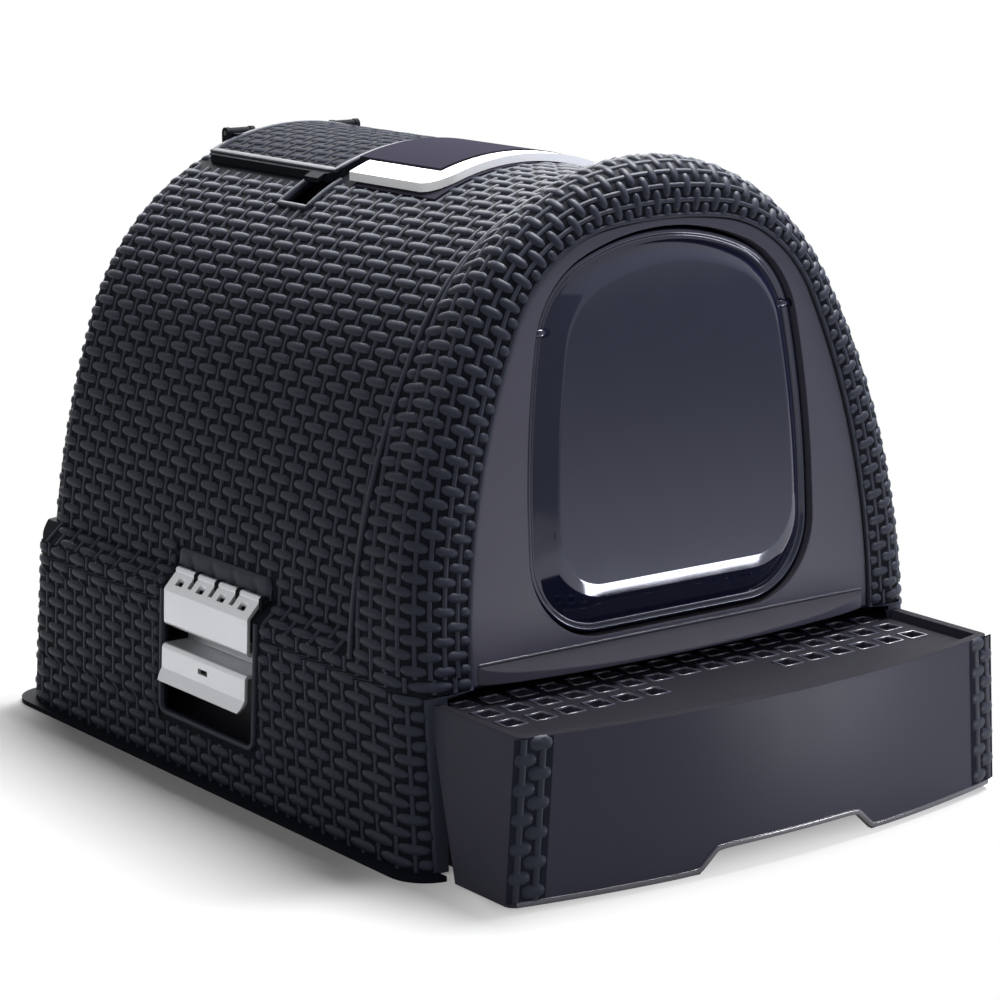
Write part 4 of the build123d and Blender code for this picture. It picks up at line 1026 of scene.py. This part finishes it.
class LITTERBOX_OT_door_shell(bpy.types.Operator):
    """Form the smoked door: beaded rim, long bevel, low crown and flat panel"""

    bl_idname = "litterbox.door_shell"
    bl_label = "Door shell"

    # inset from the outline and rise over the rim
    rim = (
        (0.0, -0.0010), (0.0003, -0.0003), (0.0010, 0.0),
        (0.0022, 0.0), (0.0029, -0.0003), (0.0033, -0.0012),
    )
    groove = ((0.0040, -0.0016), (0.0052, -0.0014), (0.0062, -0.0006))
    crown = (
        (0.0132, 0.0053), (0.0140, 0.0059), (0.0147, 0.0062), (0.0166, 0.0068), (0.0172, 0.0070)
    )
    edge = ((0.0178, 0.0070),)
    # rise of the crown on the upper edge, and the extra inset at the lower edge, by inset
    upper = (
        (0.0132, 0.0140, 0.0147, 0.0156, 0.0166, 0.0172),
        (0.0051, 0.0057, 0.0062, 0.0067, 0.00694, 0.0070),
    )
    crown_from = 0.0052
    lower = ((0.0062, 0.0140, 0.0172), (0.0, 0.0045, 0.0100))
    closing = (0.6, 0.2, 0.0)  # sizes of the rings that close the panel
    around = 360  # points on each ring

    def execute(self, context):
        door = context.scene.litter_box_door
        hood = context.scene.litter_box_hood
        line, weight = self.outline(door)
        front = self.rim + self.groove + self.crown + self.edge
        rings = [self.ring(line, weight, inset, rise) for inset, rise in front]
        panel = rings[-1]
        middle = panel.mean(axis=0)
        rings += [middle + (panel - middle) * share for share in self.closing]
        back = [(0.0, -door.thick), (0.0060, -door.thick), (0.0094, -door.thick)]
        back += [(0.0154, 0.0062 - door.skin), (0.0190, 0.0070 - door.skin)]
        inner = [self.ring(line, weight, inset, rise) for inset, rise in back]
        hollow = inner[-1]
        inner += [middle + (hollow - middle) * share for share in self.closing]
        for ring in inner[len(back):]:
            ring[:, 2] = hollow[0, 2]
        rings = inner[::-1] + rings
        points = np.concatenate([self.placed(hood, door, ring) for ring in rings])
        quads = ring_quads(len(rings), len(rings[0]))
        for side, _ in SIDES:
            more, faces = self.barrel(hood, door, side)
            quads = np.concatenate([quads, faces + len(points)])
            points = np.concatenate([points, more])
        smoked = material("smoked_plastic")
        shell = mesh_piece("door_shell", points, quads, smoked, "door", "smoked")
        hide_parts("door_flap")
        return {"FINISHED"}

    def outline(self, door):
        """Closed line from the lower edge's middle by the left, and its share in that edge."""
        crest = door.crest, door.shoulder, door.crest_radius, door.crest_angle
        arch = arch_points(door.half, door.widest, 0.0, *crest)
        turn = np.linspace(0.0, math.pi / 2, 24)
        centre = np.array([door.half - door.corner, door.bottom + door.corner])
        corner = centre + door.corner * np.stack([np.cos(turn), -np.sin(turn)], axis=1)
        left = corner[::-1] * np.array([-1.0, 1.0])
        start = np.array([[0.0, door.bottom]])
        dense = Outline(np.concatenate([start, left, arch, corner, start]))
        s = np.linspace(0.0, dense.length, self.around, endpoint=False)
        x, z, across, up = dense.at(s)
        weight = np.clip((door.widest - z) / (door.widest - centre[1]), 0.0, 1.0)
        return np.stack([x, z, across, up], axis=1), weight

    def ring(self, line, weight, inset, rise):
        """The outline moved in, further at the lower edge, with its rise over the rim."""
        x = line[:, 0] - inset * line[:, 2]
        z = line[:, 1] - inset * line[:, 3] + np.interp(inset, *self.lower) * weight
        crowned = inset > self.upper[0][0] and rise > self.crown_from
        above = np.interp(inset, *self.upper) if crowned else rise
        return np.stack([x, z, above + (rise - above) * np.minimum(1.0, 2 * weight)], axis=1)

    def placed(self, hood, door, ring):
        """Ring on the leaning front."""
        up = np.array([0.0, math.sin(hood.front_lean), math.cos(hood.front_lean)])
        foot = np.array([0.0, hood.front_foot, 0.0])
        points = foot + ring[:, 1:2] * up + (ring[:, 2:] - door.set_back) * front_normal(hood)
        points[:, 0] = ring[:, 0]
        return points

    def barrel(self, hood, door, side):
        """Short bearing behind the rim for a pivot pin."""
        turn = np.linspace(0.0, 2 * math.pi, 20, endpoint=False)
        radius, bore, far, near = 0.0027, 0.0021, 0.0810, 0.0935
        centre = self.placed(hood, door, np.array([[0.0, door.pivot, -door.thick / 2]]))[0]
        circle = np.stack([0 * turn, np.cos(turn), np.sin(turn)], axis=1)
        places = [(far, 0.0), (far, radius), (near, radius), (near, bore)]
        rings = [centre + circle * size + np.array([side * x, 0.0, 0.0]) for x, size in places]
        return np.concatenate(rings), turned_over(ring_quads(len(rings), len(turn)), side < 0)


class LITTERBOX_OT_filter_felt(bpy.types.Operator):
    """Put the felt pad in the filter basket, crowned and soft at its edges"""

    bl_idname = "litterbox.filter_felt"
    bl_label = "Filter felt"

    around = 112  # points on each ring
    squareness = 0.25  # of the rings' corners
    dimple = 0.012  # of half the pad's thickness
    section = ((0.0, 1.0), (0.5, 1.0), (0.85, 0.97), (0.95, 0.88), (1.0, 0.45))  # reach and rise

    def execute(self, context):
        low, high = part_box("filter_pad")
        middle, half = (low + high) / 2, (high - low) / 2
        ring = np.linspace(0.0, 2 * math.pi, self.around, endpoint=False)
        across, along = [
            np.sign(wave) * np.abs(wave) ** self.squareness for wave in (np.cos(ring), np.sin(ring))
        ]
        levels = [(share, -rise) for share, rise in self.section] + list(self.section[::-1])
        points = []
        for share, rise in levels:
            dimple = self.dimple * np.cos(9 * ring + 7 * share) * (abs(rise) > 0.9) * share
            x = middle.x + half.x * share * across
            y = middle.y + half.y * share * along
            z = middle.z + half.z * (rise - np.abs(dimple) * np.sign(rise))
            points.append(np.stack([x, y, z], axis=1))
        points, quads = np.concatenate(points), ring_quads(len(levels), len(ring))
        felt = material("charcoal_felt")
        pad = mesh_piece("filter_felt", points, quads, felt, "hood", "charcoal_felt")
        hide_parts("filter_pad")
        return {"FINISHED"}


class LITTERBOX_OT_drawer_trim(bpy.types.Operator):
    """Weave the drawer's end strips and run a lip along its bottom edge"""

    bl_idname = "litterbox.drawer_trim"
    bl_label = "Drawer trim"

    rows, foot = 11, 0.0068  # woven rows, and where they start
    reaches = ((0.0082, 0.0212), (0.0003, 0.0126))  # of even and odd strands, from the edge
    strand_share, strand_lift = 1.4, 0.0028
    ribs, rib_lift, rib_width = (0.0052, 0.0160), 0.0014, 0.0042
    ground_width, ground_lift = (-0.0002, 0.0217), 0.00025
    rib_ends, ground_ends = (0.0062, 0.0006), (0.0058, 0.0004)  # height of the foot, room on top

    def execute(self, context):
        surface = DrawerFace()
        weave = Weave(context.scene.litter_box_weave)
        row = (surface.top - self.foot) / self.rows
        middles = self.foot + (np.arange(self.rows) + 0.5) * row
        heights = np.linspace(self.rib_ends[0], surface.top - self.rib_ends[1], 40)
        free = np.ones(len(heights), bool)
        for side, name in SIDES:
            places = []
            for n, z in enumerate(middles):
                ends = side * (self.edge(z) - np.array(self.reaches[n % 2]))
                places.append((z, ends.min(), ends.max()))
            weave.strands(surface, self.strand_share * row, places, self.strand_lift, flip=True)
            for place in self.ribs:
                across = side * (self.edge(heights) - place)
                weave.rib(surface, heights, across, free, self.rib_lift, self.rib_width, flip=True)
            self.ground(surface, side, name)
        weave.make("drawer_weave", material("woven_plastic"), "tray", "rattan")
        self.lip(surface)
        return {"FINISHED"}

    def edge(self, z):
        """Half width of the drawer's woven ends, which lean in 6 mm on 90 mm."""
        return 0.1780 - (z - 0.003) * 6.0 / 90.0

    def ground(self, surface, side, name):
        """Recess behind a woven end strip, made darker with painted shade."""
        heights = np.linspace(self.ground_ends[0], surface.top - self.ground_ends[1], 24)
        shares = np.linspace(*self.ground_width, 8)
        a = np.broadcast_to(heights[:, None], (len(heights), len(shares)))
        points, normals = surface(a, side * (self.edge(a) - shares[None, :]))
        points = points + normals * self.ground_lift
        quads = turned_over(grid_quads(*a.shape), side > 0)
        ground = material("shaded_weave_plastic")
        mesh_piece(f"strip_ground_{name}", points, quads, ground, "tray", "rattan")

    def lip(self, surface):
        """Bead that follows the bottom edge over the finger notch."""
        foot, roof, end, half, top_half = 0.0046, 0.0161, 0.1722, 0.0635, 0.0506
        corners = [(-end, foot), (-half, foot), (-top_half, roof)]
        corners += [(-x, z) for x, z in corners[::-1]]
        path = np.concatenate([walked(corners, 25), corners[-1:]])
        for _ in range(6):
            path[1:-1] = (path[:-2] + 2 * path[1:-1] + path[2:]) / 4
        points, normals = surface(path[:, 1], path[:, 0])
        points, quads = sweep(points, normals, bead(width=0.0032, height=0.0009))
        mesh_piece("drawer_lip", points, quads, material("polished_lip"), "tray", "satin_dark")


class LITTERBOX_OT_front_trim(bpy.types.Operator):
    """Run a bright edge along the sill and rims round the holes of the entry grid"""

    bl_idname = "litterbox.front_trim"
    bl_label = "Front trim"

    sill_half, sill_y, sill_z = 0.1395, -0.1672, 0.1095
    holes, hole_pitch, hole_half = (16, 3), (0.0195, 0.0205), (0.0064, 0.0059)
    first_row = -0.1630
    bare_half = 0.040  # middle of the front row, which has no holes
    bead_size = (0.0016, 0.0007)  # width and height

    def execute(self, context):
        hood = context.scene.litter_box_hood
        x = np.linspace(-self.sill_half, self.sill_half, 40)
        points = stacked(x, self.sill_y + 0 * x, self.sill_z)
        normals = np.tile(front_normal(hood), (len(x), 1))
        points, quads = sweep(points, normals, bead(*self.bead_size))
        mesh_piece("sill_edge", points, quads, material("polished_lip"), "hood", "satin_dark")
        self.rims()
        return {"FINISHED"}

    def rims(self):
        """Low rims round the holes in front of the hood."""
        _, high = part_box("entry_grid")
        columns, rows = self.holes
        half_x, half_y = self.hole_half
        turns = ((-1, -1), (1, -1), (1, 1), (-1, 1))
        up = np.tile([0.0, 0.0, 1.0], (len(turns), 1))
        points, quads, count = [], [], 0
        for row in range(rows):
            for column in range(columns):
                x = (column - (columns - 1) / 2) * self.hole_pitch[0]
                y = self.first_row - row * self.hole_pitch[1]
                if row == rows - 1 and abs(x) < self.bare_half:
                    continue
                path = [(x + sx * half_x, y + sy * half_y, high.z) for sx, sy in turns]
                more, faces = sweep(path, up, bead(*self.bead_size), closed=True)
                points.append(more)
                quads.append(faces + count)
                count += len(more)
        points, quads = np.concatenate(points), turned_over(np.concatenate(quads))
        mesh_piece("grid_rims", points, quads, material("polished_lip"), "tray", "satin_dark")


class LITTERBOX_OT_latch_trim(bpy.types.Operator):
    """Frame the latch windows and put the smooth stop plate above each latch"""

    bl_idname = "litterbox.latch_trim"
    bl_label = "Latch trim"

    top, corner = 0.1065, 0.006  # of the window's frame
    stop_ends = (-0.0130, 0.0860)
    stop_heights = np.array([-0.0004, 0.0, 0.0020, 0.0095, 0.0122, 0.0130, 0.0131])
    stop_lifts = np.array([-0.0006, 0.0018, 0.0022, 0.0022, 0.0018, 0.0006, -0.0006])
    teeth, tooth_middle, tooth_pitch, tooth_half = 4, 0.0365, 0.0225, 0.0030
    notch_top, notch_sink, end_round = 0.0065, 0.0006, 0.005

    def execute(self, context):
        hood = context.scene.litter_box_hood
        trim = material("smooth_trim")
        for side, name in SIDES:
            mesh_piece(f"window_frame_{name}", *self.frame(hood, side), trim, "hood", "rattan")
            mesh_piece(f"latch_stop_{name}", *self.stop(hood, side), trim, "hood", "rattan")
        return {"FINISHED"}

    def frame(self, hood, side):
        """Bead round a latch window, open at the ledge."""
        front, rear, foot = WINDOW_FRONT, WINDOW_REAR, WINDOW_FOOT
        top, corner = self.top, self.corner
        turns = np.linspace(0, math.pi / 2, 7)[1:-1]
        bends = [(corner * (1 - math.cos(t)), corner * (1 - math.sin(t))) for t in turns]
        path = [(front, z) for z in np.linspace(top, foot + corner, 12)]
        path += [(front + near, foot + far) for near, far in bends]
        path += [(y, foot) for y in np.linspace(front + corner, rear - corner, 14)]
        path += [(rear - far, foot + near) for near, far in bends]
        path += [(rear, z) for z in np.linspace(foot + corner, top, 12)]
        slope = skirt_slope(hood)
        points = [(side * skirt_half(hood, z), y, z) for y, z in path]
        normals = np.tile([side * math.cos(slope), 0.0, math.sin(slope)], (len(path), 1))
        return sweep(points, normals, bead(width=0.0032, height=0.0019))

    def stop(self, hood, side):
        """Plate on the vault's foot, with a notch for each tooth and rounded ends."""
        line = vault_outline(hood)
        heights, lifts = self.stop_heights, self.stop_lifts
        across = np.linspace(*self.stop_ends, 41)
        notch = np.zeros(len(across))
        for n in range(self.teeth):
            middle = self.tooth_middle + (n - (self.teeth - 1) / 2) * self.tooth_pitch
            share = np.clip(1 - np.abs(across - middle) / self.tooth_half, 0, 1)
            notch = np.maximum(notch, share)
        end = np.minimum(across - across[0], across[-1] - across)
        rounded = np.sqrt(np.clip(1 - np.clip(1 - end / self.end_round, 0, 1) ** 2, 0, 1))
        points = []
        for y, cut, share in zip(across, notch, rounded):
            reach = heights * (0.55 + 0.45 * share)
            x, z, out, up = line.at(reach - heights[0])
            dip = np.where(reach < self.notch_top, 1.0, 0.0) * cut
            lift = lifts * (1 - dip) * (0.3 + 0.7 * share) - self.notch_sink * dip
            places = [side * -x + side * -out * lift, np.full(len(heights), y), z + up * lift]
            points.append(np.stack(places, axis=1))
        quads = turned_over(grid_quads(len(across), len(heights)), side < 0)
        return np.concatenate(points), quads


class LITTERBOX_OT_roof_trim(bpy.types.Operator):
    """Frame the finger slots and edge the collar"""

    bl_idname = "litterbox.roof_trim"
    bl_label = "Roof trim"

    slot_sides, slot_front, slot_rear = (0.0640, 0.0888), 0.0688, 0.0977

    def execute(self, context):
        hood = context.scene.litter_box_hood
        trim = material("smooth_trim")
        layer = RoofLayer(hood, 0.0)
        front, rear = self.slot_front, self.slot_rear
        for side, name in SIDES:
            low, high = [side * x for x in self.slot_sides]
            corners = [(low, front), (high, front), (high, rear), (low, rear)]
            points, normals = layer.over(np.concatenate([walked(corners, 12), corners[-1:]]))
            points, quads = sweep(points, normals, bead(width=0.0036, height=0.0022))
            quads = turned_over(quads, side > 0)
            mesh_piece(f"slot_frame_{name}", points, quads, trim, "hood", "rattan")
        line = collar_back(hood)
        x, z, across, up = line.at(np.linspace(0.0, line.length, 160))
        points, normals = stacked(x, hood.collar_rear + 0 * x, z), stacked(across, 0 * x, up)
        points, quads = sweep(points, normals, bead(width=0.0030, height=0.0016, sink=0.0030))
        mesh_piece("collar_edge", points, turned_over(quads), trim, "hood", "rattan")
        return {"FINISHED"}


# Stage


class LITTERBOX_OT_stage(bpy.types.Operator):
    """Set the pale floor, the soft light and the camera"""

    bl_idname = "litterbox.stage"
    bl_label = "Stage"

    # name, place, target, size, power, rays that don't meet it, colour
    lamps = (
        ("roof_softbox", (0.82, 0.05, 2.0), (0.0, 0.0, 0.2), (1.1, 1.1), 208.0),
        ("back_softbox", (1.2, 1.8, 0.95), (0.0, 0.0, 0.3), (2.2, 1.2), 36.0, ("camera",)),
        ("left_softbox", (-0.95, -0.85, 0.7), (-0.15, -0.15, 0.15), (0.5, 0.5), 7.5, ("glossy",)),
        ("rear_softbox", (0.6, 1.65, 1.55), (0.0, 0.0, 0.25), (1.0, 0.8), 27.0),
        (
            "front_fill", (0.75, -0.85, 0.35), (0.05, -0.2, 0.15), (0.4, 0.4), 5.0,
            ("glossy", "camera"), (0.88, 0.94, 1.22),
        ),
        (
            "low_strip", (0.236, -0.470, 0.026), (0.236, -0.168, 0.138), (0.22, 0.05), 1.1,
            ("diffuse", "camera"),
        ),
    )

    def execute(self, context):
        scene = context.scene
        scene.view_settings.view_transform = "Standard"
        self.floor(scene)
        self.flag(scene)
        self.world(scene)
        for lamp in self.lamps:
            self.lamp(scene, *lamp)
        self.camera(scene)
        return {"FINISHED"}

    def sheet(self, scene, name, points, quads, finish):
        """Flat object of the stage."""
        mesh = bpy.data.meshes.new(name)
        mesh.from_pydata(points, [], quads)
        mesh.materials.append(finish.material)
        sheet = bpy.data.objects.new(name, mesh)
        scene.collection.objects.link(sheet)
        return sheet

    def floor(self, scene):
        """Pale floor, white away from the box for the camera and partly in reflections."""
        finish = Finish("studio_floor", Roughness=0.9, Specular_IOR_Level=0.0)
        finish.feed(Base_Color=finish.tinted((0.39, 0.39, 0.39), 0.01, finish.noise(3.0)))
        place = finish.place
        shadow, shadow_fades = (-0.27, 0.035, 0.0), (0.16, 0.42)
        box_half, box_fades = (0.17, 0.225, 0.0), (-0.05, 0.085)
        kept_dark, mirrored_share, floor_half = 0.5, 0.45, 6.0

        def vectors(operation, *values, out="Vector"):
            values = dict(enumerate(values))
            return place.node("ShaderNodeVectorMath", {"operation": operation}, values, out=out)

        def risen(value, low, high):
            limits = {"Value": value, "From Min": low, "From Max": high}
            return place.node("ShaderNodeMapRange", {"interpolation_type": "SMOOTHSTEP"}, limits)

        def ray(kind):
            return place.node("ShaderNodeLightPath", out=f"Is {kind} Ray")

        far = risen(vectors("DISTANCE", place, shadow, out="Value"), *shadow_fades)
        outside = vectors("SUBTRACT", vectors("ABSOLUTE", place), box_half)
        outside = vectors("LENGTH", vectors("MAXIMUM", outside, (0.0, 0.0, 0.0)), out="Value")
        far = place.maths("MINIMUM", far, risen(outside, *box_fades))
        white = place.node("ShaderNodeEmission", {}, {"Color": (1, 1, 1, 1), "Strength": 1.0})
        dark = place.node("ShaderNodeEmission", {}, {"Color": (0, 0, 0, 1), "Strength": 0.0})
        lit = Wire(finish.tree, finish.shader.outputs[0])
        bounced = kept_dark * ray("Diffuse")
        lit = place.node("ShaderNodeMixShader", {}, {0: bounced, 1: lit, 2: dark})
        shown = far * (ray("Camera") + mirrored_share * ray("Glossy"))
        both = place.node("ShaderNodeMixShader", {}, {0: shown, 1: lit, 2: white})
        output = next(n for n in finish.tree.nodes if n.type == "OUTPUT_MATERIAL")
        finish.tree.links.new(both.socket, output.inputs["Surface"])
        steps = np.linspace(-floor_half, floor_half, 9)
        points = [(x, y, 0.0) for y in steps for x in steps]
        quads = turned_over(grid_quads(len(steps), len(steps))).tolist()
        floor = self.sheet(scene, "studio_floor", points, quads, finish)

    def flag(self, scene):
        """Dim card beside the camera, seen in reflections only."""
        finish = Finish(
            "studio_flag", Roughness=1.0, Specular_IOR_Level=0.0, Base_Color=(0.0, 0.0, 0.0, 1.0),
            Emission_Color=(0.93, 0.96, 1.0, 1.0), Emission_Strength=0.40,
        )
        middle, across = np.array([-0.80, -1.82, 0.0]), np.array([0.80, -0.35, 0.0])
        ends = [middle - across, middle + across]
        points = [tuple(end + (0.0, 0.0, z)) for z in (0.01, 2.4) for end in ends]
        flag = self.sheet(scene, "studio_flag", points, [(0, 1, 3, 2)], finish)
        flag.visible_camera = flag.visible_diffuse = flag.visible_shadow = False

    def world(self, scene):
        """Faint light from all sides, white for the camera and nearly so in reflections."""
        world = bpy.data.worlds.new("studio")
        scene.world = world
        world.use_nodes = True
        tree = world.node_tree
        tree.nodes.clear()
        start = Wire(tree)
        seen = start.node("ShaderNodeLightPath", out="Is Camera Ray")
        mirrored = start.node("ShaderNodeLightPath", out="Is Glossy Ray")
        dim, white = [
            start.node("ShaderNodeBackground", {}, {"Color": (1, 1, 1, 1), "Strength": strength})
            for strength in (0.085, 1.0)
        ]
        both = start.node("ShaderNodeMixShader", {}, {0: seen + 0.8 * mirrored, 1: dim, 2: white})
        output = tree.nodes.new("ShaderNodeOutputWorld")
        tree.links.new(both.socket, output.inputs["Surface"])

    def lamp(self, scene, name, place, target, size, power, unmet=(), tone=(1.0, 1.0, 1.0)):
        """Soft rectangular light."""
        data = bpy.data.lights.new(name, "AREA")
        data.shape = "RECTANGLE"
        data.size, data.size_y = size
        data.energy = power
        data.color = tone
        lamp = bpy.data.objects.new(name, data)
        aim = (Vector(target) - Vector(place)).to_track_quat("-Z", "Y")
        lamp.matrix_world = Matrix.Translation(place) @ aim.to_matrix().to_4x4()
        for ray in unmet:
            setattr(lamp, f"visible_{ray}", False)
        scene.collection.objects.link(lamp)

    def camera(self, scene):
        """Camera at the photograph's place, from the fit to its 1000 pixels."""
        focal, pixels, sensor = 3054.49, 1000.0, 36.0
        data = bpy.data.cameras.new("studio_camera")
        data.sensor_width = sensor
        data.lens = sensor * focal / pixels
        data.clip_end = 50.0
        camera = bpy.data.objects.new("studio_camera", data)
        turn, tilt, far = math.radians(-37.227), math.radians(12.735), 1.83408
        target = Vector((0.005234, 0.0052, 0.149164))
        level = math.cos(tilt)
        away = Vector((math.sin(turn) * level, -math.cos(turn) * level, math.sin(tilt)))
        look = (-away).to_track_quat("-Z", "Y").to_matrix().to_4x4()
        roll = Matrix.Rotation(math.radians(0.152), 4, "Z")
        camera.matrix_world = Matrix.Translation(target + far * away) @ look @ roll
        scene.collection.objects.link(camera)
        scene.camera = camera


# Add-on


class LITTERBOX_PT_panel(bpy.types.Panel):
    """The steps that dress the litter box"""

    bl_idname = "LITTERBOX_PT_panel"
    bl_label = "Litter box"
    bl_space_type = "VIEW_3D"
    bl_region_type = "UI"
    bl_category = "Litter box"

    def draw(self, context):
        for step in STEPS:
            self.layout.operator(step.bl_idname)


GROUPS = {
    "litter_box_hood": HoodSizes,
    "litter_box_door": DoorSizes,
    "litter_box_weave": WeaveSizes,
    "litter_box_finishes": Finishes,
}
STEPS = (
    LITTERBOX_OT_finishes,
    LITTERBOX_OT_hood_weave,
    LITTERBOX_OT_hatch_weave,
    LITTERBOX_OT_door_shell,
    LITTERBOX_OT_filter_felt,
    LITTERBOX_OT_drawer_trim,
    LITTERBOX_OT_front_trim,
    LITTERBOX_OT_latch_trim,
    LITTERBOX_OT_roof_trim,
    LITTERBOX_OT_stage,
)
CLASSES = (*GROUPS.values(), *STEPS, LITTERBOX_PT_panel)


def register():
    for cls in CLASSES:
        bpy.utils.register_class(cls)
    for name, group in GROUPS.items():
        setattr(bpy.types.Scene, name, bpy.props.PointerProperty(type=group))


def unregister():
    for name in GROUPS:
        delattr(bpy.types.Scene, name)
    for cls in reversed(CLASSES):
        bpy.utils.unregister_class(cls)


def main():
    register()
    bpy.ops.litterbox.finishes()
    bpy.ops.litterbox.hood_weave()
    bpy.ops.litterbox.hatch_weave()
    bpy.ops.litterbox.door_shell()
    bpy.ops.litterbox.filter_felt()
    bpy.ops.litterbox.drawer_trim()
    bpy.ops.litterbox.front_trim()
    bpy.ops.litterbox.latch_trim()
    bpy.ops.litterbox.roof_trim()
    bpy.ops.litterbox.stage()


if __name__ == "__main__":
    main()
